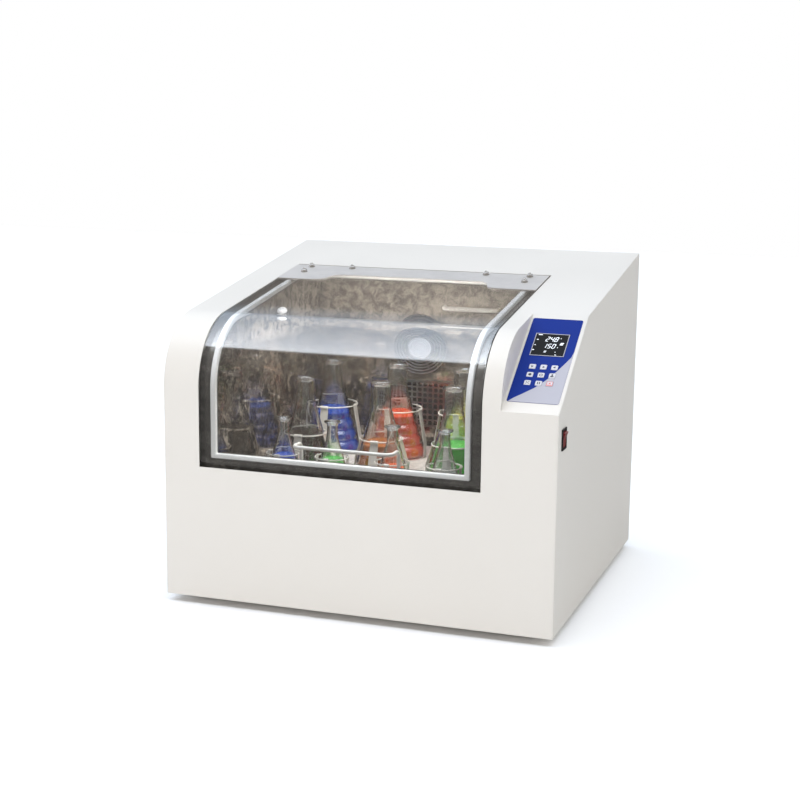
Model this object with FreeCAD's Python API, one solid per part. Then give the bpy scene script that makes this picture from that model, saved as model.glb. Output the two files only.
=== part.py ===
import FreeCAD, Part
import math
import os

# Benchtop shaking incubator, modelled in millimetres with +Z up.
# Every piece is drawn from the casing's bottom front left corner: X to the right, Y to the back, Z up.
# When it is saved, each piece is moved so that the origin is at the centre of the footprint on the bench.

# Casing
casing_rear_height = 510.0
top_slope_angle = 8.7
front_bend_radius = 110.0
sheet = 1.5
recess_width = 85.0
lid_to_recess = 29.0
machine_space = 140.0
foot_height = 12.0
foot_radius = 18.0
foot_taper = 3.0
foot_inset = 85.0
base_upstand = 25.0
screw_head_radius = 3.5
screw_head_height = 1.8
screw_inset = 14.0
screw_length = 8.0
fastener_sides = 6
foot_sides = 12
vent_slot_width = 3.6
vent_slot_length = 70.0
vent_slot_pitch = 11.0
vent_slot_count = 9
vent_bottom = 180.0
vent_inset = 150.0
base_slot_count = 12
base_slot_left = 160.0
base_slot_gap = 70.0

# Control recess at the right of the front
panel_drop = 92.78
panel_angle = 34.5
overlay_margin = 3.0
overlay_width = 76.5
overlay_start = 21.0
overlay_end = 200.0
overlay_thickness = 0.6
overlay_corner_radius = 3.0
screen_inset = 14.5
screen_width = 52.0
screen_start = 118.0
screen_end = 171.0
screen_rise = 1.0
screen_window_margin = 3.0
screen_depth = 9.0
key_size = 9.4
key_corner_cut = 1.2
key_flange = 1.0
key_flange_thickness = 1.2
key_first_inset = 25.0
key_pitch_across = 16.5
key_first_along = 61.0
key_pitch_along = 17.0
key_rise = 1.1
key_travel = 0.5
key_depth = 5.0
key_gap = 0.3
board_drop = 12.0
board_thickness = 1.6

# Rocker switch on the right side
switch_front = 19.0
switch_width = 25.0
switch_drop = 55.0
switch_height = 31.0
switch_bezel = 2.0
switch_depth = 26.0
switch_well = 13.0
switch_pin_length = 8.0
switch_pin_width = 5.0
rocker_margin = 3.0
rocker_gap = 0.35
rocker_axis_depth = 3.0
rocker_axle_radius = 1.2
rocker_tip = 6.2
rocker_waist = 4.6
rocker_throw = 20.0

# Power inlet and power supply
inlet_side_gap = 60.0
inlet_height = 70.0
inlet_flange_half = 25.0
inlet_half_width = 13.7
inlet_half_height = 10.2
inlet_depth = 20.0
inlet_wall = 1.7
inlet_pin_half = 1.0
supply_side_gap = 16.0
supply_width = 82.0
supply_front = 60.0
supply_length = 158.0
supply_top = 46.0
supply_slot_count = 6
supply_slot_pitch = 16.0
terminal_length = 15.0
terminal_seat = 22.0
terminal_top = 34.0

# Lid
lid_left = 60.0
lid_overlap = 25.5
lid_bottom = 215.0
lid_rear_overlap = 35.5
lid_thickness = 5.0
lid_corner_radius = 7.0
lid_side_gap = 1.5
opening_bottom = 208.0
hinge_space = 9.5
rear_plate_thickness = 1.5
rear_plate_length = 89.5
rear_plate_waist_length = 54.5
rear_plate_end_inset = 64.0
rear_plate_waist_inset = 106.0
bolt_radius = 2.0
bolt_clearance = 0.6
bolt_head_radius = 3.5
bolt_head_height = 2.0
bolt_tail = 1.0
nut_radius = 5.0
nut_height = 4.5
front_bolt_inset = 30.0
front_bolt_length = 44.5
rear_bolt_length = 10.5
inner_bolt_inset = 104.5

# Piano hinge of the lid
hinge_offset = 4.7
hinge_drop = 4.0
knuckle_radius = 3.2
hinge_pin_radius = 1.5
hinge_end_gap = 6.0
knuckle_count = 5
knuckle_gap = 0.6
hinge_leaf_thickness = 1.3
hinge_leaf_length = 20.5
fixed_leaf_height = 7.0

# Chamber
chamber_floor = 131.2
chamber_sheet = 1.2
gasket_gap = 0.3
gasket_thickness = 7.8
gasket_width = 11.5
gasket_margin = 0.5
sill_height = 230.5
roof_depth = 78.0
rim_sheet = 1.2
rim_side_reach = 35.5
rim_bottom = 199.0
rim_tuck = 10.0
insulation_thickness = 25.0
front_insulation_thickness = 9.0
insulation_top_gap = 6.0
plenum_depth = 15.0
plenum_border = 14.0
seat_gap = 0.25

# Air circulation, heating and light inside the chamber
fan_drop = 122.7
fan_side_offset = 11.0
fan_radius = 50.0
fan_blade_radius = 45.0
fan_hub_radius = 24.0
fan_blade_count = 5
fan_blade_chord = 16.0
fan_blade_sheet = 1.6
fan_blade_pitch = 60.0
fan_shaft_radius = 3.0
fan_wall_gap = 1.5
fan_shaft_reach = 23.0
fan_motor_radius = 30.0
fan_motor_length = 40.0
fan_motor_plate_half = 45.0
fan_motor_cap = 8.0
guard_wire = 2.0
guard_stand = 5.5
guard_inner_radius = 10.0
guard_ring_count = 4
guard_sides = 12
fan_to_grille = 143.0
grille_width = 196.0
grille_height = 82.0
grille_rise = 6.0
grille_border = 4.0
grille_sheet = 1.0
grille_hole_radius = 4.5
grille_pitch = 16.5
grille_columns = 11
grille_rows = 4
grille_hole_sides = 6
air_window_margin = 8.0
heater_radius = 4.0
heater_start = 32.0
heater_length = 95.0
heater_drop = 59.7
heater_stand = 14.0
heater_tail = 12.0
heater_bend = 11.0
probe_inset = 35.0
probe_radius = 2.5
probe_length = 45.0
probe_nut_radius = 6.0
lamp_front = 225.0
lamp_length = 35.0
lamp_drop = 64.7
lamp_height = 16.0
lamp_rise = 14.0
lamp_base = 3.0
lamp_end = 6.0

# Shaking drive
orbit_radius = 10.0
drive_plate_bottom = 50.0
drive_plate_thickness = 6.0
drive_plate_left_inset = 6.5
drive_plate_right_reach = 24.5
drive_plate_front_reach = 148.0
drive_plate_rear_gap = 30.0
drive_arm_half = 55.0
drive_arm_gap = 8.0
drive_leg_radius = 12.0
drive_leg_inset = 13.0
shaft_radius = 12.5
idler_shaft_radius = 8.0
eccentric_pin_radius = 9.0
idler_pin_radius = 6.0
running_clearance = 0.05
open_pivot_clearance = 0.3
housing_top = 136.0
housing_flange = 8.0
main_housing_half = 42.0
main_housing_radius = 28.0
idler_housing_half = 30.0
idler_housing_radius = 20.0
housing_sides = 12
pulley_sides = 20
motor_sides = 12
crank_bottom = 139.0
crank_thickness = 10.0
crank_web_radius = 28.0
idler_web_radius = 18.0
pin_top = 170.0
pulley_bottom = 24.0
pulley_height = 20.0
pulley_flange = 2.0
drive_pulley_radius = 50.0
motor_pulley_radius = 15.0
belt_thickness = 3.0
belt_side_gap = 0.5
belt_seat_gap = 0.3
motor_side_gap = 59.0
motor_back_offset = 82.0
motor_radius = 44.0
motor_flange_half = 47.0
motor_height = 95.0
motor_cap = 10.0
motor_shaft_radius = 5.0
motor_shaft_reach = 25.0
counterweight_radius = 62.0
counterweight_spread = 75.0
counterweight_gap = 0.2
counterweight_steps = 6

# Platform and tray
carrier_side_inset = 5.0
carrier_end_inset = 16.0
carrier_bottom = 158.0
carrier_thickness = 8.0
carrier_window_x = 70.0
carrier_window_places = [-30.0, 35.0]
carrier_window_half_x = 25.0
carrier_window_half_y = 22.0
boss_radius = 20.0
boss_sides = 8
boss_bottom = 152.0
boss_top = 172.0
tray_half_x = 180.0
tray_half_y = 168.0
tray_front_gap = 50.0
tray_side_clearance = 7.5
tray_rear_clearance = 24.0
tray_top = 180.0
tray_sheet = 2.5
tray_skirt = 11.0
tray_corner_radius = 12.0
tray_screw_radius = 2.5
tray_screw_clearance = 0.2
tray_screw_head_radius = 6.0
tray_screw_head_height = 4.0
post_radius = 8.0
post_side_inset = 14.0
post_end_inset = 28.0
handle_radius = 3.5
handle_half_length = 80.0
handle_overhang = 10.0
handle_reach = 36.0
handle_height = 60.0
handle_bend = 11.0
handle_foot = 4.0
handle_foot_height = 3.0
bar_sides = 8
bend_steps = 3

# Flasks and their clamps: radii of body, neck and rim, height, liquid level, height and radius of the clamp ring
small_flask = {"body": 25.5, "height": 88.0, "neck": 8.5, "rim": 13.0, "level": 26.0,
               "ring_height": 32.0, "ring": 24.5}
medium_flask = {"body": 41.0, "height": 140.0, "neck": 15.0, "rim": 18.0, "level": 46.0,
                "ring_height": 50.0, "ring": 32.0}
large_flask = {"body": 47.0, "height": 154.0, "neck": 16.5, "rim": 20.0, "level": 60.0,
               "ring_height": 80.0, "ring": 38.5}
small_places = [(-127.0, -103.0), (-44.0, -103.0), (56.0, -103.0), (141.0, -103.0)]
medium_places = [(-122.0, -23.0), (9.0, -23.0), (130.0, -23.0)]
large_places = [(-115.0, 80.0), (0.0, 80.0), (115.0, 80.0)]
glass_wall = 1.8
liquid_gap = 0.3
clamp_sheet = 1.5
clamp_strip_width = 10.0
clamp_wire = 2.4
clamp_clearance = 1.5
ring_sides = 10
flask_sides = 10
flask_seat_gap = 0.2

# Values worked out from the ones above: the tray sets the chamber, the chamber sets the lid and the casing
slope = math.tan(math.radians(top_slope_angle))
slope_cosine = math.cos(math.radians(top_slope_angle))
slope_sine = math.sin(math.radians(top_slope_angle))
panel_slope = math.tan(math.radians(panel_angle))
panel_cosine = math.cos(math.radians(panel_angle))
orbit_y = tray_front_gap + orbit_radius + tray_half_y
chamber_width = 2 * (tray_half_x + orbit_radius + tray_side_clearance)
chamber_back = orbit_y + tray_half_y + orbit_radius + tray_rear_clearance
lid_width = chamber_width + 2 * lid_overlap
lid_right = lid_left + lid_width
recess_left = lid_right + lid_to_recess
casing_width = recess_left + recess_width
casing_depth = chamber_back + machine_space
front_line_height = casing_rear_height - casing_depth * slope
bend_centre_height = front_line_height + front_bend_radius * slope - front_bend_radius / slope_cosine
chamber_x = lid_left + lid_width / 2
chamber_left = chamber_x - chamber_width / 2
chamber_right = chamber_x + chamber_width / 2
roof_front = chamber_back - roof_depth
lid_back = roof_front + lid_rear_overlap
opening_back = lid_back + hinge_space
rim_back = opening_back + rim_tuck
rim_reach = chamber_width / 2 + rim_side_reach
gasket_outer = lid_thickness + gasket_gap
rim_depth = gasket_outer + gasket_thickness + 0.2
liner_depth = rim_depth + rim_sheet
chamber_top = front_line_height + chamber_back * slope - (liner_depth + chamber_sheet) / slope_cosine
fan_x = chamber_x - fan_side_offset
fan_height = chamber_top - fan_drop
grille_bottom = fan_height - fan_to_grille
heater_left = chamber_x + heater_start
heater_right = heater_left + heater_length
heater_height = chamber_top - heater_drop
lamp_back = lamp_front + lamp_length
lamp_bottom = chamber_top - lamp_drop
probe_x = chamber_left + probe_inset
rear_plate_front = lid_back - rear_plate_length
rear_plate_waist = lid_back - rear_plate_waist_length
rear_plate_end_reach = lid_width / 2 - rear_plate_end_inset
rear_plate_waist_reach = lid_width / 2 - rear_plate_waist_inset
front_bolt_reach = lid_width / 2 - front_bolt_inset
front_bolt_back = lid_back - front_bolt_length
rear_bolt_back = lid_back - rear_bolt_length
inner_bolt_reach = lid_width / 2 - inner_bolt_inset
hinge_length = lid_width - 2 * hinge_end_gap
hinge_back = lid_back + hinge_offset
hinge_leaf_front = lid_back - hinge_leaf_length
hinge_height = front_line_height + hinge_back * slope - hinge_drop
panel_front_height = front_line_height - panel_drop
overlay_left = recess_left + overlay_margin
overlay_right = overlay_left + overlay_width
screen_left = recess_left + screen_inset
screen_right = screen_left + screen_width
key_first_across = recess_left + key_first_inset
switch_bottom = panel_front_height - switch_drop
orbit_x = chamber_x
platform_x = orbit_x - orbit_radius
platform_y = orbit_y
motor_x = casing_width - motor_side_gap
motor_y = orbit_y + motor_back_offset
idler_places = [(-120.0, -100.0), (120.0, -100.0), (0.0, 115.0)]
drive_plate_top = drive_plate_bottom + drive_plate_thickness
carrier_half_x = tray_half_x - carrier_side_inset
carrier_half_y = tray_half_y - carrier_end_inset
post_x = tray_half_x - post_side_inset
post_y = tray_half_y - post_end_inset
handle_front = -tray_half_y - handle_overhang
up = FreeCAD.Vector(0, 0, 1)
right = FreeCAD.Vector(1, 0, 0)
back = FreeCAD.Vector(0, 1, 0)


def point(x, y, z):
    return FreeCAD.Vector(x, y, z)


def block(x0, x1, y0, y1, z0, z1):
    return Part.makeBox(x1 - x0, y1 - y0, z1 - z0, point(x0, y0, z0))


def rod(start, direction, radius, length):
    return Part.makeCylinder(radius, length, start, direction)


def faceted_rod(start, direction, radius, length, sides):
    """A straight bar whose section is a regular polygon with its corners on the given radius."""
    corners = []
    for index in range(sides):
        angle = math.radians(360.0 * (index + 0.5) / sides)
        corners.append(point(radius * math.cos(angle), radius * math.sin(angle), 0))
    bar = polygon(corners).extrude(point(0, 0, length))
    bar.Placement = FreeCAD.Placement(start, FreeCAD.Rotation(up, direction))
    return bar


def faceted_turning(outline, sides, x, y, z):
    """A flat-sided vessel or foot through regular polygons, from radius and height pairs."""
    rings = []
    for radius, height in outline:
        corners = []
        for index in range(sides):
            angle = math.radians(360.0 * (index + 0.5) / sides)
            corners.append(point(x + radius * math.cos(angle), y + radius * math.sin(angle), z + height))
        rings.append(corners)
    faces = [polygon(rings[0][::-1]), polygon(rings[-1])]
    for low, high in zip(rings, rings[1:]):
        for index in range(sides):
            following = (index + 1) % sides
            faces.append(polygon([low[index], low[following], high[following], high[index]]))
    return Part.makeSolid(Part.makeShell(faces))


def join(shapes):
    whole = shapes[0]
    for shape in shapes[1:]:
        whole = whole.fuse(shape)
    return whole.removeSplitter()


def drill(shape, cutters):
    return shape.cut(Part.makeCompound(cutters))


def polygon(points):
    return Part.Face(Part.makePolygon(points + [points[0]]))


def turned(outline, x, y, z):
    """A solid of revolution about the upright line through (x, y), from radius and height pairs."""
    face = polygon([point(radius, 0, height) for radius, height in outline])
    solid = face.revolve(point(0, 0, 0), up, 360)
    solid.translate(point(x, y, z))
    return solid


def round_upright_edges(shape, radius):
    chosen = [edge for edge in shape.Edges if abs(edge.tangentAt(edge.FirstParameter).z) > 0.999]
    return shape.makeFillet(radius, chosen)


def curved_prism(inset, left, far_right, bottom, rear):
    """The casing's side outline with its rounded front, set in by inset and run from left to far_right."""
    radius = front_bend_radius - inset
    centre_y = front_bend_radius
    centre_z = bend_centre_height
    bend_end_y = centre_y - radius * slope_sine
    bend_end_z = centre_z + radius * slope_cosine
    middle = math.radians((180 + 90 + top_slope_angle) / 2)
    middle_y = centre_y + radius * math.cos(middle)
    middle_z = centre_z + radius * math.sin(middle)
    rear_z = front_line_height + rear * slope - inset / slope_cosine
    low_front = point(left, inset, bottom)
    bend_start = point(left, inset, centre_z)
    bend_middle = point(left, middle_y, middle_z)
    bend_end = point(left, bend_end_y, bend_end_z)
    high_rear = point(left, rear, rear_z)
    low_rear = point(left, rear, bottom)
    edges = [Part.makeLine(low_front, bend_start)]
    edges.append(Part.Arc(bend_start, bend_middle, bend_end).toShape())
    edges.append(Part.makeLine(bend_end, high_rear))
    edges.append(Part.makeLine(high_rear, low_rear))
    edges.append(Part.makeLine(low_rear, low_front))
    return Part.Face(Part.Wire(edges)).extrude(point(far_right - left, 0, 0))


def slanted_prism(inset, left, far_right, bottom, rear):
    """The casing's side outline at the control panel, set in by inset and run from left to far_right."""
    panel_start_z = panel_front_height + inset * panel_slope - inset / panel_cosine
    rise = front_line_height - inset / slope_cosine - panel_front_height + inset / panel_cosine
    panel_end_y = rise / (panel_slope - slope)
    panel_end_z = front_line_height - inset / slope_cosine + panel_end_y * slope
    rear_z = front_line_height + rear * slope - inset / slope_cosine
    outline = [point(left, inset, bottom), point(left, inset, panel_start_z)]
    outline.append(point(left, panel_end_y, panel_end_z))
    outline.append(point(left, rear, rear_z))
    outline.append(point(left, rear, bottom))
    return polygon(outline).extrude(point(far_right - left, 0, 0))


def skin(outer, inner, left, far_right, bottom, rear):
    """A sheet that follows the rounded outline, between two insets."""
    outside = curved_prism(outer, left, far_right, bottom, rear)
    inside = curved_prism(inner, left - 1, far_right + 1, bottom - 1, rear + 1)
    return outside.cut(inside)


def on_panel(shape):
    """Moves a shape drawn flat, X across and Y up the slope, onto the slanted control panel."""
    turn = FreeCAD.Rotation(right, panel_angle)
    moved = shape.copy()
    moved.Placement = FreeCAD.Placement(point(0, 0, panel_front_height), turn).multiply(shape.Placement)
    return moved


def key_places():
    for row in range(3):
        for column in range(3):
            across = key_first_across + column * key_pitch_across
            along = key_first_along + row * key_pitch_along
            yield row, column, across, along


def lid_bolt_places():
    for side in (-1, 1):
        yield chamber_x + side * front_bolt_reach, front_bolt_back, False
        yield chamber_x + side * front_bolt_reach, rear_bolt_back, True
        yield chamber_x + side * inner_bolt_reach, rear_bolt_back, True


def rear_screw_places():
    for x in (screw_inset, casing_width / 2, casing_width - screw_inset):
        for z in (screw_inset, casing_rear_height - 2 * screw_inset):
            yield x, z


def lid_bolt_holes(places):
    """Cutters square to the sloping top, one round each lid bolt."""
    direction = point(0, -slope_sine, slope_cosine)
    length = 2 * front_bend_radius
    holes = []
    for x, y in places:
        start = point(x, y, front_line_height + y * slope) - direction * (length / 2)
        holes.append(faceted_rod(start, direction, bolt_radius + bolt_clearance, length, fastener_sides))
    return holes


def switch_cutter(margin, left, far_right):
    low = switch_bottom + margin
    high = switch_bottom + switch_height - margin
    near = switch_front + margin
    far = switch_front + switch_width - margin
    return block(left, far_right, near, far, low, high)


def inlet_place():
    return casing_width - inlet_side_gap, inlet_height


def front_top_cover():
    left = sheet
    far_right = casing_width - sheet
    rear = casing_depth - sheet
    outside = curved_prism(0, left, recess_left, 0, rear)
    outside = outside.fuse(slanted_prism(0, recess_left, far_right, 0, rear))
    inside = curved_prism(sheet, left - 1, recess_left - sheet, -1, rear + 1)
    inside = inside.fuse(slanted_prism(sheet, left - 1, far_right + 1, -1, rear + 1))
    shell = outside.cut(inside)
    opening_left = lid_left - lid_side_gap
    opening_right = lid_right + lid_side_gap
    shell = shell.cut(block(opening_left, opening_right, -1, opening_back, opening_bottom,
                            casing_rear_height))
    collar = skin(0, rim_depth - seat_gap, opening_left - sheet, opening_right + sheet,
                  opening_bottom - sheet, opening_back + sheet)
    collar = collar.cut(block(opening_left, opening_right, -1, opening_back, opening_bottom,
                              casing_rear_height))
    shell = join([shell, collar])
    cutters = []
    for row, column, across, along in key_places():
        half = key_size / 2 + key_gap
        cutters.append(on_panel(block(across - half, across + half, along - half, along + half, -5, 5)))
    window = screen_window_margin
    cutters.append(on_panel(block(screen_left + window, screen_right - window,
                                  screen_start + window, screen_end - window, -5, 5)))
    return drill(shell, cutters)


def left_side_panel():
    return curved_prism(0, 0, sheet, 0, casing_depth)


def right_side_panel():
    panel = slanted_prism(0, casing_width - sheet, casing_width, 0, casing_depth)
    return panel.cut(switch_cutter(switch_bezel - seat_gap, casing_width - 10, casing_width + 10))


def rear_panel():
    outline = curved_prism(0, sheet, casing_width - sheet, 0, casing_depth)
    panel = outline.common(block(0, casing_width, casing_depth - sheet, casing_depth, 0,
                                 casing_rear_height))
    cutters = []
    for group_x in (vent_inset, casing_width - vent_inset - vent_slot_length):
        for index in range(vent_slot_count):
            z = vent_bottom + index * vent_slot_pitch
            cutters.append(block(group_x, group_x + vent_slot_length, casing_depth - 5, casing_depth + 5,
                                 z, z + vent_slot_width))
    inlet_x, inlet_z = inlet_place()
    half_x = inlet_half_width + seat_gap
    half_z = inlet_half_height + seat_gap
    cutters.append(block(inlet_x - half_x, inlet_x + half_x, casing_depth - 5, casing_depth + 5,
                         inlet_z - half_z, inlet_z + half_z))
    for x, z in rear_screw_places():
        cutters.append(faceted_rod(point(x, casing_depth - 5, z), back, bolt_radius + 0.2, 10,
                                   fastener_sides))
    return drill(panel, cutters)


def base_pan():
    x0 = sheet
    x1 = casing_width - sheet
    y0 = sheet
    y1 = casing_depth - sheet
    pan = block(x0, x1, y0, y1, 0, base_upstand)
    pan = pan.cut(block(x0 + sheet, x1 - sheet, y0 + sheet, y1 - sheet, sheet, base_upstand + 1))
    cutters = []
    slot_back = casing_depth - base_slot_gap
    for index in range(base_slot_count):
        x = base_slot_left + index * 2 * vent_slot_pitch
        cutters.append(block(x, x + vent_slot_width, slot_back - vent_slot_length, slot_back, -1,
                             sheet + 1))
    for x, z in rear_screw_places():
        cutters.append(faceted_rod(point(x, casing_depth - 10, z), back, bolt_radius + 0.4, 10,
                                   fastener_sides))
    return drill(pan, cutters)


def rubber_feet():
    feet = []
    for x in (foot_inset, casing_width - foot_inset):
        for y in (foot_inset, casing_depth - foot_inset):
            outline = [(foot_radius - foot_taper, 0), (foot_radius, foot_height)]
            feet.append(faceted_turning(outline, foot_sides, x, y, -foot_height))
    return Part.makeCompound(feet)


def panel_screws():
    screws = []
    for x, z in rear_screw_places():
        head = faceted_rod(point(x, casing_depth, z), back, screw_head_radius, screw_head_height, 6)
        shank = faceted_rod(point(x, casing_depth - screw_length, z), back, bolt_radius, screw_length + 0.5,
                            fastener_sides)
        screws.append(join([head, shank]))
    return Part.makeCompound(screws)


def floor_holes(low, high, allowance):
    centre = point(orbit_x, orbit_y, low)
    cutters = [faceted_rod(centre, up, main_housing_radius + allowance, high - low, housing_sides)]
    for x, y in idler_places:
        place = point(orbit_x + x, orbit_y + y, low)
        cutters.append(faceted_rod(place, up, idler_housing_radius + allowance, high - low, housing_sides))
    return cutters


def chamber_liner():
    wall = chamber_sheet
    outside = curved_prism(liner_depth, chamber_left - wall, chamber_right + wall, chamber_floor - wall,
                           chamber_back + wall)
    inside = curved_prism(liner_depth + wall, chamber_left, chamber_right, chamber_floor, chamber_back)
    liner = outside.cut(inside)
    liner = liner.cut(block(chamber_left, chamber_right, 0, roof_front, sill_height, casing_rear_height))
    cutters = floor_holes(chamber_floor - 5, chamber_floor + 5, 0.3)
    cutters.append(faceted_rod(point(fan_x, chamber_back - 5, fan_height), back, fan_radius - 2, 10,
                               guard_sides))
    window = air_window_margin
    cutters.append(block(chamber_x - grille_width / 2 + window, chamber_x + grille_width / 2 - window,
                         chamber_back - 5, chamber_back + 5, grille_bottom + window,
                         grille_bottom + grille_height - window))
    for x in (heater_left, heater_right):
        place = point(x, chamber_back - 5, heater_height)
        cutters.append(faceted_rod(place, back, heater_radius + 0.6, 10, bar_sides))
    place = point(probe_x, chamber_back - 5, fan_height)
    cutters.append(faceted_rod(place, back, probe_radius + 0.5, 10, fastener_sides))
    return drill(liner, cutters)


def chamber_rim():
    left = chamber_x - rim_reach
    far_right = chamber_x + rim_reach
    rim = skin(rim_depth, liner_depth, left, far_right, rim_bottom, rim_back)
    return rim.cut(block(chamber_left, chamber_right, 0, roof_front, sill_height, casing_rear_height))


def rim_gasket():
    inner_left = chamber_left - gasket_margin
    inner_right = chamber_right + gasket_margin
    inner_bottom = sill_height - gasket_margin
    inner_back = roof_front + gasket_margin
    loop = skin(gasket_outer, gasket_outer + gasket_thickness, inner_left - gasket_width,
                inner_right + gasket_width, inner_bottom - gasket_width + 1, inner_back + gasket_width)
    return loop.cut(block(inner_left, inner_right, 0, inner_back, inner_bottom, casing_rear_height))


def insulation_panels():
    panels = []
    gap = seat_gap
    wall = chamber_sheet
    top_inset = liner_depth + insulation_top_gap
    low = chamber_floor - wall
    side_low = low - gap
    rear = chamber_back + wall
    for inner in (chamber_left - wall - gap - insulation_thickness, chamber_right + wall + gap):
        panels.append(curved_prism(top_inset, inner, inner + insulation_thickness, side_low, rear))
    floor = block(chamber_left - wall, chamber_right + wall, liner_depth, rear,
                  low - gap - insulation_thickness, low - gap)
    panels.append(drill(floor, floor_holes(drive_plate_top, housing_top, 1.5)))
    front_back = liner_depth - gap
    panels.append(block(chamber_left - wall, chamber_right + wall, front_back - front_insulation_thickness,
                        front_back, low - gap, rim_bottom - 3))
    plenum_front = rear + gap
    top = front_line_height + rear * slope - top_inset
    slab = block(chamber_left - wall, chamber_right + wall, plenum_front,
                 plenum_front + plenum_depth + insulation_thickness, low - gap, top)
    border = plenum_border
    hollow = block(chamber_left + border, chamber_right - border, plenum_front - 1,
                   plenum_front + plenum_depth,
                   low + border, top - border)
    bore = faceted_rod(point(fan_x, plenum_front, fan_height), back, fan_shaft_radius + 4, 60,
                       bar_sides)
    panels.append(drill(slab, [hollow, bore]))
    return Part.makeCompound(panels)


def return_air_grille():
    left = chamber_x - grille_width / 2
    far_right = chamber_x + grille_width / 2
    top = grille_bottom + grille_height
    rear = chamber_back - 0.1
    cover = block(left, far_right, rear - grille_rise, rear, grille_bottom, top)
    border = grille_border
    cover = cover.cut(block(left + border, far_right - border, rear - grille_rise + grille_sheet, rear + 1,
                            grille_bottom + border, top - border))
    first_x = chamber_x - (grille_columns - 1) * grille_pitch / 2
    first_z = grille_bottom + grille_height / 2 - (grille_rows - 1) * grille_pitch / 2
    cutters = []
    for column in range(grille_columns):
        for row in range(grille_rows):
            centre = point(first_x + column * grille_pitch, rear - grille_rise - 2,
                           first_z + row * grille_pitch)
            cutters.append(faceted_rod(centre, back, grille_hole_radius, 4, grille_hole_sides))
    return drill(cover, cutters)


def fan_guard():
    front = chamber_back - guard_stand
    rings = []
    step = (fan_radius - guard_inner_radius) / (guard_ring_count - 1)
    for index in range(guard_ring_count):
        outer = fan_radius - index * step
        ring = faceted_rod(point(fan_x, front, fan_height), back, outer, guard_wire, guard_sides)
        rings.append(ring.cut(faceted_rod(point(fan_x, front - 1, fan_height), back, outer - guard_wire,
                                          guard_wire + 2, guard_sides)))
    spokes = []
    for angle in (45, 135, 225, 315):
        spoke = block(0, fan_radius - 1, front + guard_wire - 0.3, front + guard_wire + 1.7, -1, 1)
        spoke.rotate(point(0, 0, 0), back, angle)
        foot = block(fan_radius - 3, fan_radius + 1, front + guard_wire - 0.3, chamber_back, -3, 3)
        foot.rotate(point(0, 0, 0), back, angle)
        spokes.append(spoke)
        spokes.append(foot)
    for shape in spokes:
        shape.translate(point(fan_x, 0, fan_height))
    return join(rings + spokes)


def fan_front():
    return chamber_back + chamber_sheet + fan_wall_gap


def fan_impeller():
    front = fan_front()
    width = plenum_depth - 4
    shaft_length = fan_motor_front() - front + fan_shaft_reach
    hub = faceted_rod(point(0, front, 0), back, fan_hub_radius, width, housing_sides)
    shaft = rod(point(0, front, 0), back, fan_shaft_radius, shaft_length)
    pieces = [hub, shaft]
    for index in range(fan_blade_count):
        blade = block(fan_hub_radius - 3, fan_blade_radius, -fan_blade_sheet / 2, fan_blade_sheet / 2,
                      -fan_blade_chord / 2, fan_blade_chord / 2)
        blade.rotate(point(0, 0, 0), right, fan_blade_pitch)
        blade.translate(point(0, front + width / 2, 0))
        blade.rotate(point(0, 0, 0), back, 360.0 * index / fan_blade_count)
        pieces.append(blade)
    wheel = join(pieces)
    wheel.translate(point(fan_x, 0, fan_height))
    return wheel


def fan_motor_front():
    return chamber_back + chamber_sheet + 2 * seat_gap + plenum_depth + insulation_thickness


def fan_motor():
    front = fan_motor_front()
    half = fan_motor_plate_half
    plate = block(-half, half, front, front + 2, -half, half)
    body = faceted_rod(point(0, front + 2, 0), back, fan_motor_radius, fan_motor_length, motor_sides)
    cap = faceted_rod(point(0, front + 2 + fan_motor_length, 0), back, fan_motor_radius - fan_motor_cap,
                      fan_motor_cap, motor_sides)
    motor = join([plate, body, cap])
    bore_radius = fan_shaft_radius + running_clearance
    motor = motor.cut(rod(point(0, front - 1, 0), back, bore_radius, fan_shaft_reach + 5))
    motor.translate(point(fan_x, 0, fan_height))
    return motor


def bent_tube(route, bend, radius):
    """A bar of many-sided section along straight runs, each corner taken in short mitred steps."""
    line = [route[0]]
    for index in range(1, len(route) - 1):
        before = (route[index] - route[index - 1]).normalize()
        after = (route[index + 1] - route[index]).normalize()
        turn = before.getAngle(after)
        reach = bend * math.tan(turn / 2)
        centre = route[index] + (after - before).normalize() * (bend / math.cos(turn / 2))
        arm = route[index] - before * reach - centre
        axis = before.cross(after).normalize()
        for step in range(bend_steps + 1):
            turned_arm = FreeCAD.Rotation(axis, math.degrees(turn) * step / bend_steps).multVec(arm)
            line.append(centre + turned_arm)
    line.append(route[-1])
    heading = (line[1] - line[0]).normalize()
    side = heading.cross(right if abs(heading.x) < 0.5 else up).normalize()
    ring = []
    for index in range(bar_sides):
        spin = FreeCAD.Rotation(heading, 360.0 * (index + 0.5) / bar_sides)
        ring.append(line[0] + spin.multVec(side) * radius)
    rings = [ring]
    for index in range(1, len(line)):
        heading = (line[index] - line[index - 1]).normalize()
        following = (line[min(index + 1, len(line) - 1)] - line[min(index, len(line) - 2)]).normalize()
        normal = (heading + following).normalize()
        ring = [corner + heading * ((line[index] - corner).dot(normal) / heading.dot(normal)) for corner in ring]
        rings.append(ring)
    faces = [polygon(rings[0][::-1]), polygon(rings[-1])]
    for near, far in zip(rings, rings[1:]):
        for index in range(bar_sides):
            following = (index + 1) % bar_sides
            faces.append(polygon([near[index], near[following], far[following], far[index]]))
    return Part.makeSolid(Part.makeShell(faces))


def heater_tube():
    rear = chamber_back + heater_tail
    front = chamber_back - heater_stand
    route = [point(heater_left, rear, heater_height), point(heater_left, front, heater_height)]
    route.append(point(heater_right, front, heater_height))
    route.append(point(heater_right, rear, heater_height))
    return bent_tube(route, heater_bend, heater_radius)


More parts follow.
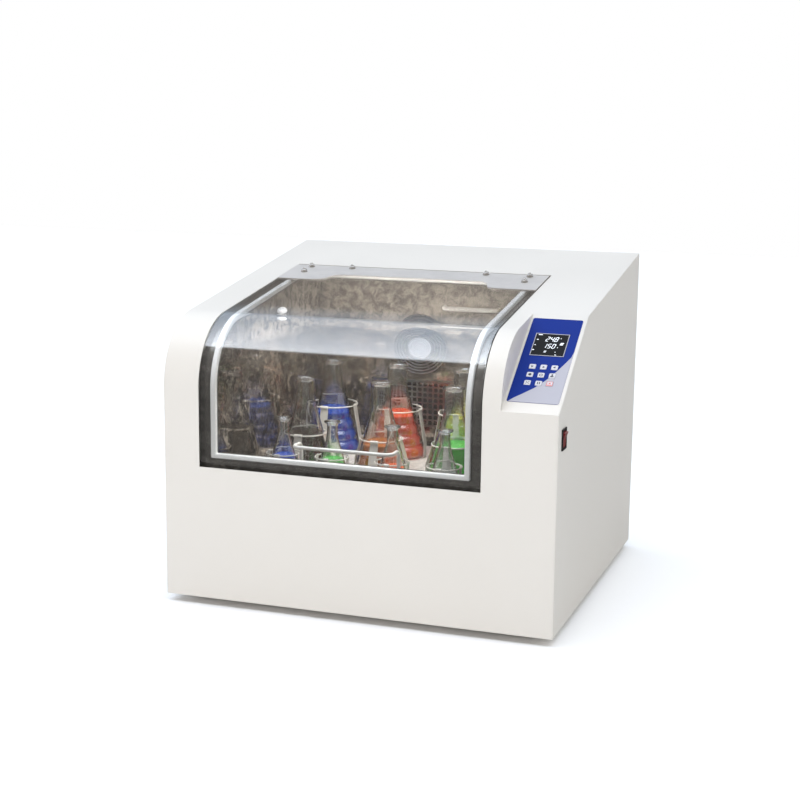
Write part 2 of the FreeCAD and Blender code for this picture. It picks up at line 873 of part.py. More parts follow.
def temperature_probe():
    tip = point(probe_x, chamber_back - probe_length, fan_height)
    stem = faceted_rod(tip, back, probe_radius, probe_length + 6, fastener_sides)
    nut = faceted_rod(point(probe_x, chamber_back - 5, fan_height), back, probe_nut_radius, 4.8,
                      fastener_sides)
    return join([stem, nut])


def chamber_lamp():
    left = chamber_left + 0.1
    base = block(left, left + lamp_base, lamp_front, lamp_back, lamp_bottom, lamp_bottom + lamp_height)
    radius = lamp_height / 2 - 1
    tube = faceted_rod(point(left + lamp_base + radius - 1, lamp_front + 4,
                             lamp_bottom + lamp_height / 2), back,
                       radius - 1, lamp_length - 8, bar_sides)
    ends = []
    for y in (lamp_front + 2, lamp_back - lamp_end - 2):
        ends.append(block(left, left + lamp_rise, y, y + lamp_end, lamp_bottom + 0.5,
                          lamp_bottom + lamp_height - 0.5))
    return join([base, tube] + ends)


def control_overlay():
    sheet_shape = block(overlay_left, overlay_right, overlay_start, overlay_end, 0.05, overlay_thickness)
    sheet_shape = round_upright_edges(sheet_shape, overlay_corner_radius)
    cutters = [block(screen_left, screen_right, screen_start, screen_end, -1, 2)]
    for row, column, across, along in key_places():
        half = key_size / 2 + key_gap
        cutters.append(block(across - half, across + half, along - half, along + half, -1, 2))
    return on_panel(drill(sheet_shape, cutters))


def display_screen():
    gap = 0.2
    glass = block(screen_left + gap, screen_right - gap, screen_start + gap, screen_end - gap, 0.05,
                  screen_rise)
    window = screen_window_margin + gap
    body = block(screen_left + window, screen_right - window, screen_start + window, screen_end - window,
                 -screen_depth, screen_rise / 2)
    return on_panel(join([glass, body]))


def control_key(across, along):
    half = key_size / 2
    cap = block(across - half, across + half, along - half, along + half, -key_depth, key_rise)
    upright = [edge for edge in cap.Edges if abs(edge.tangentAt(edge.FirstParameter).z) > 0.999]
    cap = cap.makeChamfer(key_corner_cut, upright)
    reach = half + key_flange
    flange = block(across - reach, across + reach, along - reach, along + reach, -key_depth,
                   -key_depth + key_flange_thickness)
    return on_panel(join([cap, flange]))


def control_board():
    top = -board_drop
    card = block(overlay_left + 1, overlay_right - 3, overlay_start + 4, overlay_end - 4,
                 top - board_thickness, top)
    pieces = [card]
    for row, column, across, along in key_places():
        pieces.append(block(across - 3, across + 3, along - 3, along + 3, top,
                            -key_depth - key_travel - 0.3))
    for x in (overlay_left + 6, overlay_right - 8):
        for along in (overlay_start + 9, overlay_end - 9):
            pieces.append(faceted_rod(point(x, along, top), up, 3.0, -top - sheet - 0.1, fastener_sides))
    chip = block(overlay_left + 20, overlay_left + 38, screen_start + 10, screen_start + 28,
                 top - board_thickness - 2.4, top - board_thickness)
    pieces.append(chip)
    return on_panel(join(pieces))


def switch_housing():
    face = casing_width
    bezel = block(face + 0.05, face + switch_bezel, switch_front, switch_front + switch_width,
                  switch_bottom,
                  switch_bottom + switch_height)
    inner = switch_bezel
    body = block(face - switch_depth, face + 0.1, switch_front + inner, switch_front + switch_width - inner,
                 switch_bottom + inner, switch_bottom + switch_height - inner)
    housing = join([bezel, body])
    housing = housing.cut(switch_cutter(rocker_margin, face - switch_well, face + 5))
    pins = []
    rear = face - switch_depth
    pin_y = switch_front + (switch_width - switch_pin_width) / 2
    for z in (switch_bottom + 8, switch_bottom + switch_height - 8):
        pins.append(block(rear - switch_pin_length, rear + 0.5, pin_y, pin_y + switch_pin_width, z, z + 1))
    axle_start = point(rocker_axis_x(), switch_front + rocker_margin - 0.5, rocker_axis_z())
    axle = rod(axle_start, back, rocker_axle_radius, switch_width - 2 * rocker_margin + 1)
    return join([housing, axle] + pins)


def rocker_axis_x():
    return casing_width - rocker_axis_depth


def rocker_axis_z():
    return switch_bottom + switch_height / 2


def switch_rocker():
    near = switch_front + rocker_margin + rocker_gap
    far = switch_front + switch_width - rocker_margin - rocker_gap
    half = switch_height / 2 - rocker_margin - rocker_axle_radius
    outline = [point(0, near, -half), point(rocker_tip, near, -half + 0.6), point(rocker_waist, near, 0)]
    outline.append(point(rocker_tip, near, half - 0.6))
    outline.append(point(0, near, half))
    outline.append(point(-rocker_axis_depth, near, half / 3))
    outline.append(point(-rocker_axis_depth, near, -half / 3))
    rocker = polygon(outline).extrude(point(0, far - near, 0))
    rocker = rocker.cut(rod(point(0, near - 1, 0), back, rocker_axle_radius + running_clearance,
                            far - near + 2))
    rocker.rotate(point(0, 0, 0), back, rocker_throw / 2)
    rocker.translate(point(rocker_axis_x(), 0, rocker_axis_z()))
    return rocker


def power_inlet():
    x, z = inlet_place()
    face = casing_depth
    half_x = inlet_half_width
    half_z = inlet_half_height
    mouth_x = half_x - inlet_wall
    mouth_z = half_z - inlet_wall - 0.5
    rear = face - inlet_depth
    flange = block(x - inlet_flange_half, x + inlet_flange_half, face + 0.05, face + 3,
                   z - half_z - 1.3, z + half_z + 1.3)
    flange = flange.cut(block(x - mouth_x, x + mouth_x, face - 1, face + 4, z - mouth_z, z + mouth_z))
    body = block(x - half_x, x + half_x, rear, face + 0.5, z - half_z, z + half_z)
    body = body.cut(block(x - mouth_x, x + mouth_x, rear + 3, face + 4, z - mouth_z, z + mouth_z))
    pins = []
    half_pin = inlet_pin_half
    for dx, dz in ((-7, -2), (0, 2), (7, -2)):
        pins.append(block(x + dx - half_pin, x + dx + half_pin, rear - 6, face - 4, z + dz - 2.5,
                          z + dz + 2.5))
    return join([flange, body] + pins)


def power_supply():
    far_right = casing_width - supply_side_gap
    left = far_right - supply_width
    rear = supply_front + supply_length
    step = rear - terminal_length
    box_shape = block(left, far_right, supply_front, rear, sheet + 2 * seat_gap, supply_top)
    box_shape = box_shape.cut(block(left - 1, far_right + 1, step, rear + 1, terminal_seat, supply_top + 1))
    terminals = block(left + 6, far_right - 6, step + 1, rear - 2, terminal_seat - 0.5, terminal_top)
    slots = []
    for index in range(supply_slot_count):
        y = supply_front + 20 + index * supply_slot_pitch
        slots.append(block(left + 13, far_right - 13, y, y + 4, supply_top - 2, supply_top + 1))
    return join([drill(box_shape, slots), terminals])


def drive_base():
    top = drive_plate_top
    left = chamber_left + drive_plate_left_inset
    far_right = chamber_right + drive_plate_right_reach
    front = orbit_y - drive_plate_front_reach
    rear = chamber_back - drive_plate_rear_gap
    arm_end = casing_width - drive_arm_gap
    plate = block(left, far_right, front, rear, drive_plate_bottom, top)
    arm = block(far_right, arm_end, motor_y - drive_arm_half, motor_y + drive_arm_half,
                drive_plate_bottom, top)
    pieces = [plate, arm]
    inset = drive_leg_inset
    places = [(x, y) for x in (left + inset, far_right - inset) for y in (front + inset, rear - inset)]
    for side in (-1, 1):
        places.append((arm_end - inset, motor_y + side * (drive_arm_half - inset)))
    half = drive_leg_radius
    for x, y in places:
        pieces.append(block(x - half, x + half, y - half, y + half, sheet, drive_plate_bottom))
    whole = join(pieces)
    cutters = [faceted_rod(point(orbit_x, orbit_y, 0), up, shaft_radius + 3, 2 * top, housing_sides)]
    cutters.append(faceted_rod(point(motor_x, motor_y, 0), up, motor_shaft_radius + 7, 2 * top,
                               housing_sides))
    return drill(whole, cutters)


def housing(flange_half, barrel_radius, bore_radius, x, y):
    bottom = drive_plate_top + 0.05
    flange = block(x - flange_half, x + flange_half, y - flange_half, y + flange_half, bottom,
                   bottom + housing_flange)
    barrel = faceted_rod(point(x, y, bottom), up, barrel_radius, housing_top - bottom, housing_sides)
    body = join([flange, barrel])
    return body.cut(rod(point(x, y, bottom - 1), up, bore_radius, housing_top))


def main_bearing_housing():
    return housing(main_housing_half, main_housing_radius, shaft_radius + running_clearance, orbit_x,
                   orbit_y)


def idler_bearing_housings():
    bodies = []
    bore = idler_shaft_radius + running_clearance
    for x, y in idler_places:
        bodies.append(housing(idler_housing_half, idler_housing_radius, bore, orbit_x + x, orbit_y + y))
    return Part.makeCompound(bodies)


def drive_shaft():
    low = pulley_bottom - 4
    shaft = rod(point(orbit_x, orbit_y, low), up, shaft_radius, crank_bottom - low)
    web = faceted_rod(point(orbit_x, orbit_y, crank_bottom), up, crank_web_radius, crank_thickness,
                      motor_sides)
    pin = rod(point(orbit_x - orbit_radius, orbit_y, crank_bottom), up, eccentric_pin_radius,
              pin_top - crank_bottom)
    return join([shaft, web, pin])


def drive_pulley():
    flange = drive_pulley_radius + belt_thickness
    top = pulley_height
    rim = pulley_flange
    outline = [(flange, 0), (flange, rim), (drive_pulley_radius, rim), (drive_pulley_radius, top - rim)]
    outline += [(flange, top - rim), (flange, top)]
    wheel = faceted_turning(outline, pulley_sides, orbit_x, orbit_y, pulley_bottom)
    return wheel.cut(rod(point(orbit_x, orbit_y, 0), up, shaft_radius + 0.02, drive_plate_top))


def drive_counterweight():
    inner = crank_web_radius + counterweight_gap
    inside = []
    outside = []
    for step in range(counterweight_steps + 1):
        angle = math.radians(counterweight_spread * (2.0 * step / counterweight_steps - 1))
        inside.append(point(inner * math.cos(angle), inner * math.sin(angle), 0))
        outside.append(point(counterweight_radius * math.cos(angle),
                             counterweight_radius * math.sin(angle), 0))
    sector = polygon(inside + outside[::-1]).extrude(point(0, 0, crank_thickness))
    sector = sector.cut(rod(point(0, 0, -1), up, inner, crank_thickness + 2))
    sector.translate(point(orbit_x, orbit_y, crank_bottom))
    return sector


def idler_crank(x, y):
    low = drive_plate_top + 4
    shaft = rod(point(orbit_x + x, orbit_y + y, low), up, idler_shaft_radius, crank_bottom - low)
    web = faceted_rod(point(orbit_x + x, orbit_y + y, crank_bottom), up, idler_web_radius, crank_thickness,
                      housing_sides)
    pin = rod(point(orbit_x + x - orbit_radius, orbit_y + y, crank_bottom), up, idler_pin_radius,
              pin_top - crank_bottom)
    return join([shaft, web, pin])


def shaker_motor():
    bottom = drive_plate_top + 0.1
    body = faceted_rod(point(motor_x, motor_y, bottom), up, motor_radius, motor_height, motor_sides)
    half = motor_flange_half
    flange = block(motor_x - half, motor_x + half, motor_y - half, motor_y + half, bottom,
                   bottom + housing_flange)
    cap = faceted_rod(point(motor_x, motor_y, bottom + motor_height), up, motor_radius - 8, motor_cap,
                      motor_sides)
    motor = join([body, flange, cap])
    bore = rod(point(motor_x, motor_y, bottom - 1), up, motor_shaft_radius + running_clearance,
               motor_shaft_reach + 5)
    return motor.cut(bore)


def motor_pulley():
    flange = motor_pulley_radius + belt_thickness
    top = pulley_height
    rim = pulley_flange
    outline = [(flange, 0), (flange, rim), (motor_pulley_radius, rim), (motor_pulley_radius, top - rim)]
    outline += [(flange, top - rim), (flange, top)]
    wheel = faceted_turning(outline, motor_sides, motor_x, motor_y, pulley_bottom)
    shaft_length = drive_plate_top + motor_shaft_reach - pulley_bottom
    shaft = rod(point(motor_x, motor_y, pulley_bottom), up, motor_shaft_radius, shaft_length)
    return join([wheel, shaft])


def belt_loop(allowance, low, high):
    """The area inside a belt that runs round both pulleys at the given allowance from them."""
    big = drive_pulley_radius + allowance
    small = motor_pulley_radius + allowance
    dx = motor_x - orbit_x
    dy = motor_y - orbit_y
    distance = math.hypot(dx, dy)
    heading = math.atan2(dy, dx)
    lean = math.acos((big - small) / distance)
    corners = []
    for centre_x, centre_y, radius, side in ((orbit_x, orbit_y, big, 1), (motor_x, motor_y, small, 1),
                                             (motor_x, motor_y, small, -1), (orbit_x, orbit_y, big, -1)):
        angle = heading + side * lean
        corners.append(point(centre_x + radius * math.cos(angle), centre_y + radius * math.sin(angle), low))
    middle = polygon(corners).extrude(point(0, 0, high - low))
    big_corner = big / math.cos(math.pi / pulley_sides)
    small_corner = small / math.cos(math.pi / motor_sides)
    ends = [faceted_rod(point(orbit_x, orbit_y, low), up, big_corner, high - low, pulley_sides)]
    ends.append(faceted_rod(point(motor_x, motor_y, low), up, small_corner, high - low, motor_sides))
    return join([middle] + ends)


def drive_belt():
    inset = pulley_flange + belt_side_gap
    low = pulley_bottom + inset
    high = pulley_bottom + pulley_height - inset
    return belt_loop(belt_seat_gap + belt_thickness, low,
                     high).cut(belt_loop(belt_seat_gap, low - 1, high + 1))


def pin_places():
    yield 0.0, 0.0, eccentric_pin_radius + running_clearance
    for x, y in idler_places:
        yield x, y, idler_pin_radius + open_pivot_clearance


def platform_carrier():
    top = carrier_bottom + carrier_thickness
    plate = block(-carrier_half_x, carrier_half_x, -carrier_half_y, carrier_half_y, carrier_bottom, top)
    pieces = [plate]
    for x, y, bore in pin_places():
        pieces.append(faceted_rod(point(x, y, boss_bottom), up, boss_radius, boss_top - boss_bottom,
                                  boss_sides))
    for x in (-post_x, post_x):
        for y in (-post_y, post_y):
            pieces.append(faceted_rod(point(x, y, top - 1), up, post_radius,
                                      tray_top - tray_sheet - top + 1,
                                      fastener_sides))
    carrier = join(pieces)
    cutters = []
    for x, y, bore in pin_places():
        cutters.append(rod(point(x, y, 0), up, bore, tray_top))
    half_x = carrier_window_half_x
    half_y = carrier_window_half_y
    for x in (-carrier_window_x, carrier_window_x):
        for y in carrier_window_places:
            cutters.append(block(x - half_x, x + half_x, y - half_y, y + half_y, 0, tray_top))
    carrier = drill(carrier, cutters)
    carrier.translate(point(platform_x, platform_y, 0))
    return carrier


def shaker_tray():
    bottom = tray_top - tray_skirt
    outer = block(-tray_half_x, tray_half_x, -tray_half_y, tray_half_y, bottom, tray_top)
    outer = round_upright_edges(outer, tray_corner_radius)
    reach_x = tray_half_x - tray_sheet
    reach_y = tray_half_y - tray_sheet
    inner = block(-reach_x, reach_x, -reach_y, reach_y, bottom - 1, tray_top - tray_sheet)
    inner = round_upright_edges(inner, tray_corner_radius - tray_sheet)
    tray = outer.cut(inner)
    cutters = []
    for x in (-post_x, post_x):
        for y in (-post_y, post_y):
            cutters.append(faceted_rod(point(x, y, bottom), up, tray_screw_radius + tray_screw_clearance,
                                       2 * tray_skirt, fastener_sides))
    tray = drill(tray, cutters)
    tray.translate(point(platform_x, platform_y, 0))
    return tray


def tray_screws():
    screws = []
    for x in (-post_x, post_x):
        for y in (-post_y, post_y):
            head = faceted_rod(point(x, y, tray_top), up, tray_screw_head_radius, tray_screw_head_height,
                               fastener_sides)
            shank = faceted_rod(point(x, y, tray_top - tray_sheet), up, tray_screw_radius, tray_sheet + 0.5,
                                fastener_sides)
            screws.append(join([head, shank]))
    group = Part.makeCompound(screws)
    group.translate(point(platform_x, platform_y, 0))
    return group


def tray_handle():
    low = tray_top
    high = tray_top + handle_height
    rear = handle_front + handle_reach
    route = []
    for side in (-1, 1):
        x = side * handle_half_length
        leg = [point(x, rear, low), point(x, rear, high), point(x, handle_front, high)]
        route += leg if side < 0 else leg[::-1]
    rail = bent_tube(route, handle_bend, handle_radius)
    pieces = [rail]
    for side in (-1, 1):
        pieces.append(faceted_rod(point(side * handle_half_length, rear, low), up,
                                  handle_radius + handle_foot,
                                  handle_foot_height, fastener_sides))
    handle = join(pieces)
    handle.translate(point(platform_x, platform_y, 0))
    return handle


def flask_clamp(flask, x, y):
    base_radius = flask["body"] + clamp_clearance
    outer = base_radius + clamp_sheet
    ring_height = flask["ring_height"]
    ring = flask["ring"]
    lean_start = ring_height * 0.3
    profile = [point(0, 0, 0), point(outer, 0, 0), point(outer, 0, lean_start)]
    profile.append(point(ring + clamp_sheet, 0, ring_height + clamp_wire))
    profile.append(point(ring, 0, ring_height + clamp_wire))
    profile.append(point(base_radius, 0, lean_start))
    profile.append(point(base_radius, 0, clamp_sheet))
    profile.append(point(0, 0, clamp_sheet))
    pieces = []
    for index in range(4):
        strip = polygon(profile).extrude(point(0, clamp_strip_width, 0))
        strip.translate(point(0, -clamp_strip_width / 2, 0))
        strip.rotate(point(0, 0, 0), up, 30 + 90 * index)
        pieces.append(strip)
    middle = ring + clamp_sheet
    outside = faceted_rod(point(0, 0, ring_height), up, middle + clamp_wire / 2, clamp_wire, ring_sides)
    inside = faceted_rod(point(0, 0, ring_height - 1), up, middle - clamp_wire / 2, clamp_wire + 2,
                         ring_sides)
    pieces.append(outside.cut(inside))
    clamp = join(pieces)
    clamp.translate(point(platform_x + x, platform_y + y, tray_top))
    return clamp


def flask_outline(flask, inset):
    """The straight-sided outline of a conical flask below its rim, set in by inset."""
    body = flask["body"] - inset
    neck = flask["neck"] - inset
    shoulder = flask["height"] * 0.72
    return [(body, inset), (body, flask["body"] * 0.2), (neck, shoulder)]


def glass_flask(flask, x, y):
    height = flask["height"]
    neck = flask["neck"]
    rim = flask["rim"]
    place_x = platform_x + x
    place_y = platform_y + y
    place_z = tray_top + clamp_sheet + flask_seat_gap
    outline = flask_outline(flask, 0) + [(neck, height - 5), (rim, height - 2.5), (rim, height)]
    inner = flask_outline(flask, glass_wall) + [(neck - glass_wall, height + 1)]
    outside = faceted_turning(outline, flask_sides, place_x, place_y, place_z)
    return outside.cut(faceted_turning(inner, flask_sides, place_x, place_y, place_z))


def flask_liquid(flask, x, y):
    level = flask["level"]
    low, corner, shoulder = flask_outline(flask, glass_wall + liquid_gap)
    share = (level - corner[1]) / (shoulder[1] - corner[1])
    surface = corner[0] + (shoulder[0] - corner[0]) * share
    outline = [low, corner, (surface, level)]
    place_z = tray_top + clamp_sheet + flask_seat_gap
    return faceted_turning(outline, flask_sides, platform_x + x, platform_y + y, place_z)


def every_flask():
    for flask, places in ((small_flask, small_places), (medium_flask, medium_places),
                          (large_flask, large_places)):
        for x, y in places:
            yield flask, x, y


def lid_shell():
    shell = skin(0, lid_thickness, lid_left, lid_right, lid_bottom, lid_back)
    corners = []
    for edge in shell.Edges:
        centre = edge.CenterOfMass
        along = edge.tangentAt(edge.FirstParameter)
        if abs(along.y) > 0.999 and abs(centre.z - lid_bottom) < 0.01:
            corners.append(edge)
    shell = shell.makeFillet(lid_corner_radius, corners)
    return drill(shell, lid_bolt_holes([(x, y) for x, y, through_leaf in lid_bolt_places()]))


def lid_rear_plate():
    far = lid_back + 0.5
    low = bend_centre_height
    back_left = point(lid_left, far, low)
    outline = [back_left, point(lid_left, rear_plate_front, low)]
    left_outer = point(chamber_x - rear_plate_end_reach, rear_plate_front, low)
    left_inner = point(chamber_x - rear_plate_waist_reach, rear_plate_waist, low)
    right_inner = point(chamber_x + rear_plate_waist_reach, rear_plate_waist, low)
    right_outer = point(chamber_x + rear_plate_end_reach, rear_plate_front, low)
    front_right = point(lid_right, rear_plate_front, low)
    back_right = point(lid_right, far, low)
    edges = [Part.makeLine(outline[0], outline[1]), Part.makeLine(outline[1], left_outer)]
    edges += sweeping_edges(left_outer, left_inner)
    edges.append(Part.makeLine(left_inner, right_inner))
    edges += sweeping_edges(right_inner, right_outer)
    edges.append(Part.makeLine(right_outer, front_right))
    edges.append(Part.makeLine(front_right, back_right))
    edges.append(Part.makeLine(back_right, back_left))
    blank = Part.Face(Part.Wire(edges)).extrude(point(0, 0, casing_rear_height))
    layer = skin(-rear_plate_thickness, 0, lid_left, lid_right, lid_bottom, far)
    plate = layer.common(blank)
    return drill(plate, lid_bolt_holes([(x, y) for x, y, through_leaf in lid_bolt_places()]))


def sweeping_edges(start, end):
    """Two equal arcs that leave start and reach end running along X."""
    half_x = (end.x - start.x) / 2
    half_y = (end.y - start.y) / 2
    radius = (half_x * half_x + half_y * half_y) / (2 * abs(half_y))
    reach = math.copysign(1, half_y)
    angle = math.asin(abs(half_x) / radius) / 2
    lead = math.copysign(1, half_x)
    near = point(start.x + lead * radius * math.sin(angle),
                 start.y + reach * radius * (1 - math.cos(angle)), start.z)
    middle = point(start.x + half_x, start.y + half_y, start.z)
    far = point(end.x - lead * radius * math.sin(angle),
                end.y - reach * radius * (1 - math.cos(angle)), start.z)
    return [Part.Arc(start, near, middle).toShape(), Part.Arc(middle, far, end).toShape()]


def lid_fasteners():
    fasteners = []
    direction = point(0, -slope_sine, slope_cosine)
    for x, y, through_leaf in lid_bolt_places():
        foot = point(x, y, front_line_height + y * slope)
        below = lid_thickness + (hinge_leaf_thickness + 0.05 if through_leaf else 0) + 0.1
        above = rear_plate_thickness + 0.1
        start = foot - direction * (below + bolt_head_height)
        head = faceted_rod(start, direction, bolt_head_radius, bolt_head_height, fastener_sides)
        length = bolt_head_height + below + above + nut_height + 2 * bolt_tail
        shank = faceted_rod(start, direction, bolt_radius, length, fastener_sides)
        nut = faceted_rod(foot + direction * above, direction, nut_radius, nut_height, fastener_sides)
        fasteners.append(join([head, shank, nut]))
    return Part.makeCompound(fasteners)


def knuckle_spans():
    left = chamber_x - hinge_length / 2
    span = hinge_length / knuckle_count
    for index in range(knuckle_count):
        start = left + index * span
        yield index % 2 == 0, start + knuckle_gap / 2, start + span - knuckle_gap / 2


def hinge_bore():
    start = point(chamber_x - hinge_length / 2 - 1, hinge_back, hinge_height)
    return rod(start, right, hinge_pin_radius + running_clearance, hinge_length + 2)


def hinge_fixed_leaf():
    left = chamber_x - hinge_length / 2
    rear = opening_back - 0.05
    front = rear - hinge_leaf_thickness + 0.1
    top = hinge_height - 1
    pieces = [block(left, left + hinge_length, front, rear, top - fixed_leaf_height, top)]
    for fixed, start, end in knuckle_spans():
        if fixed:
            pieces.append(rod(point(start, hinge_back, hinge_height), right, knuckle_radius, end - start))
            pieces.append(block(start, end, hinge_back, rear, hinge_height - knuckle_radius, top))
    return join(pieces).cut(hinge_bore())


def hinge_lid_leaf():
    left = chamber_x - hinge_length / 2
    inner = lid_thickness + 0.05
    outer = inner + hinge_leaf_thickness
    low = bend_centre_height
    high = 2 * casing_rear_height
    leaf = skin(inner, outer, left, left + hinge_length, lid_bottom, lid_back + 1)
    leaf = leaf.common(block(left, left + hinge_length, hinge_leaf_front, lid_back + 1, low, high))
    pieces = [leaf]
    for fixed, start, end in knuckle_spans():
        if not fixed:
            pieces.append(rod(point(start, hinge_back, hinge_height), right, knuckle_radius, end - start))
            tab = skin(inner, outer, start, end, lid_bottom, hinge_back)
            pieces.append(tab.common(block(start, end, lid_back - 5, hinge_back, low, high)))
    holes = lid_bolt_holes([(x, y) for x, y, through_leaf in lid_bolt_places() if through_leaf])
    return drill(join(pieces), [hinge_bore()] + holes)


def hinge_pin():
    left = chamber_x - hinge_length / 2
    return rod(point(left, hinge_back, hinge_height), right, hinge_pin_radius, hinge_length)


def save(name, shape):
    placed = shape.copy()
    placed.translate(point(-casing_width / 2, -casing_depth / 2, foot_height))
    placed.exportStep("parts/" + name + ".step")


def build():
    os.makedirs("parts", exist_ok=True)
    save("front_top_cover", front_top_cover())
    save("left_side_panel", left_side_panel())
    save("right_side_panel", right_side_panel())
    save("rear_panel", rear_panel())
    save("base_pan", base_pan())
    save("rubber_feet", rubber_feet())
    save("panel_screws", panel_screws())
    save("chamber_liner", chamber_liner())
    save("chamber_rim", chamber_rim())
    save("rim_gasket", rim_gasket())
    save("insulation_panels", insulation_panels())
    save("return_air_grille", return_air_grille())
    save("fan_guard", fan_guard())
    save("fan_impeller", fan_impeller())
    save("fan_motor", fan_motor())
    save("heater_tube", heater_tube())
    save("temperature_probe", temperature_probe())
    save("chamber_lamp", chamber_lamp())
    save("control_overlay", control_overlay())
    save("display_screen", display_screen())
    for row, column, across, along in key_places():
        save("key_%d_%d" % (row + 1, column + 1), control_key(across, along))
    save("control_board", control_board())
    save("power_supply", power_supply())
    save("switch_housing", switch_housing())
    save("switch_rocker", switch_rocker())
    save("power_inlet", power_inlet())
    save("drive_base", drive_base())
    save("main_bearing_housing", main_bearing_housing())
    save("idler_bearing_housings", idler_bearing_housings())
    save("drive_shaft", drive_shaft())
    save("drive_pulley", drive_pulley())
    save("drive_counterweight", drive_counterweight())
    for index, place in enumerate(idler_places):
        save("idler_crank_%d" % (index + 1), idler_crank(place[0], place[1]))
    save("shaker_motor", shaker_motor())
    save("motor_pulley", motor_pulley())
    save("drive_belt", drive_belt())
    save("platform_carrier", platform_carrier())
    save("shaker_tray", shaker_tray())
    save("tray_screws", tray_screws())
    save("tray_handle", tray_handle())
    small_clamps = [flask_clamp(small_flask, x, y) for x, y in small_places]
    save("small_flask_clamps", Part.makeCompound(small_clamps))
    large_clamps = [flask_clamp(medium_flask, x, y) for x, y in medium_places]
    large_clamps += [flask_clamp(large_flask, x, y) for x, y in large_places]
    save("large_flask_clamps", Part.makeCompound(large_clamps))
    save("flasks", Part.makeCompound([glass_flask(flask, x, y) for flask, x, y in every_flask()]))
    save("flask_liquids", Part.makeCompound([flask_liquid(flask, x, y) for flask, x, y in every_flask()]))
    save("lid_shell", lid_shell())
    save("lid_rear_plate", lid_rear_plate())
    save("lid_fasteners", lid_fasteners())
    save("hinge_fixed_leaf", hinge_fixed_leaf())
    save("hinge_lid_leaf", hinge_lid_leaf())
    save("hinge_pin", hinge_pin())


build()
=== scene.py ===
import math
import bpy
import bmesh
from mathutils import Matrix, Vector


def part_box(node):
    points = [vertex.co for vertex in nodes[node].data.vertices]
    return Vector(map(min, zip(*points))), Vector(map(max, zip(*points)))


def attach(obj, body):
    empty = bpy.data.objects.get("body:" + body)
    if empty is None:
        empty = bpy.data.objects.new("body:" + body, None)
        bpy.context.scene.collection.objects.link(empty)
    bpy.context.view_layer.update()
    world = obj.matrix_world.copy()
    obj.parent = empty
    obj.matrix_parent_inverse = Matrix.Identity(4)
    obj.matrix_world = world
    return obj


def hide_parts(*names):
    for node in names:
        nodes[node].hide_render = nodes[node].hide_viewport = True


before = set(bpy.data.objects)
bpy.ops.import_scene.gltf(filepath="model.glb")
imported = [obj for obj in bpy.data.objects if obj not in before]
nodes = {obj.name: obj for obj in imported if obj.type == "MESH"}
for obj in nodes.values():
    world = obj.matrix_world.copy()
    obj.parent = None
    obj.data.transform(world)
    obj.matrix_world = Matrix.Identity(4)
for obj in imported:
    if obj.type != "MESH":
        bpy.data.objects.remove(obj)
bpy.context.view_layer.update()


# places: the casing's own millimetres, from its bottom front left corner, into the frame's metres
casing = dict(width=620.0, depth=570.0, rearHeight=510.0, slope=8.7, bend=110.0, sheet=1.5, feet=12.0,
              recessLeft=535.0, panelHeight=330.0, panelAngle=34.5)
slopeAngle = math.radians(casing["slope"])
panelAngle = math.radians(casing["panelAngle"])
frontLine = casing["rearHeight"] - casing["depth"] * math.tan(slopeAngle)
bendZ = frontLine + casing["bend"] * math.tan(slopeAngle) - casing["bend"] / math.cos(slopeAngle)


def at(x, y, z):
    return Vector(((x - 310.0) / 1000, (y - 285.0) / 1000, (z + casing["feet"]) / 1000))


def onPanel(across, along, lift=0.0):
    y = along * math.cos(panelAngle) - lift * math.sin(panelAngle)
    z = casing["panelHeight"] + along * math.sin(panelAngle) + lift * math.cos(panelAngle)
    return at(across, y, z)


def topHeight(y, inset=0.0):
    return frontLine + y * math.tan(slopeAngle) - inset / math.cos(slopeAngle)


# effects that several finishes share
socketKinds = {1: "NodeSocketFloat", 3: "NodeSocketVector", 4: "NodeSocketColor"}


def newGroup(name, outputs=(), **inputs):
    # an input's kind follows from its value: a number, a vector of three or a colour of four
    group = bpy.data.node_groups.new(name, "ShaderNodeTree")
    for label, value in inputs.items():
        kind = socketKinds[len(value) if isinstance(value, tuple) else 1]
        group.interface.new_socket(label, in_out="INPUT", socket_type=kind).default_value = value
    for label, size in (("Color", 4), ("Roughness", 1), ("Normal", 3), *outputs):
        group.interface.new_socket(label, in_out="OUTPUT", socket_type=socketKinds[size])
    return group, group.nodes.new("NodeGroupInput").outputs, group.nodes.new("NodeGroupOutput").inputs


def feed(tree, socket, value):
    # a socket takes a link from another socket, or a plain value
    if isinstance(value, bpy.types.NodeSocket):
        tree.links.new(value, socket)
    else:
        socket.default_value = value


def addNode(tree, kind, values=(), **settings):
    node = tree.nodes.new("ShaderNode" + kind)
    for name, value in settings.items():
        setattr(node, name, value)
    for label, value in dict(values).items():
        feed(tree, node.inputs[label], value)
    return node


def noiseOf(tree, place, scale, detail, roughness=0.5, distortion=0.0):
    values = dict(Vector=place, Scale=scale, Detail=detail, Roughness=roughness, Distortion=distortion)
    return addNode(tree, "TexNoise", values).outputs["Fac"]


def rangeOf(tree, value, low, high, bottom=0.0, top=1.0):
    values = {"Value": value, "From Min": low, "From Max": high, "To Min": bottom, "To Max": top}
    return addNode(tree, "MapRange", values).outputs["Result"]


def mixOf(tree, blend, factor, first, second):
    values = dict(Factor=factor, A=first, B=second)
    return addNode(tree, "Mix", values, data_type="RGBA", blend_type=blend).outputs["Result"]


def mathOf(tree, operation, *values):
    return addNode(tree, "Math", enumerate(values), operation=operation).outputs["Value"]


def bumpOf(tree, height, strength, distance):
    return addNode(tree, "Bump", dict(Height=height, Strength=strength, Distance=distance)).outputs["Normal"]


def objectPlace(tree):
    return addNode(tree, "TexCoord").outputs["Object"]


def sendOut(group, result, **sources):
    for label, source in sources.items():
        feed(group, result[label], source)
    return group


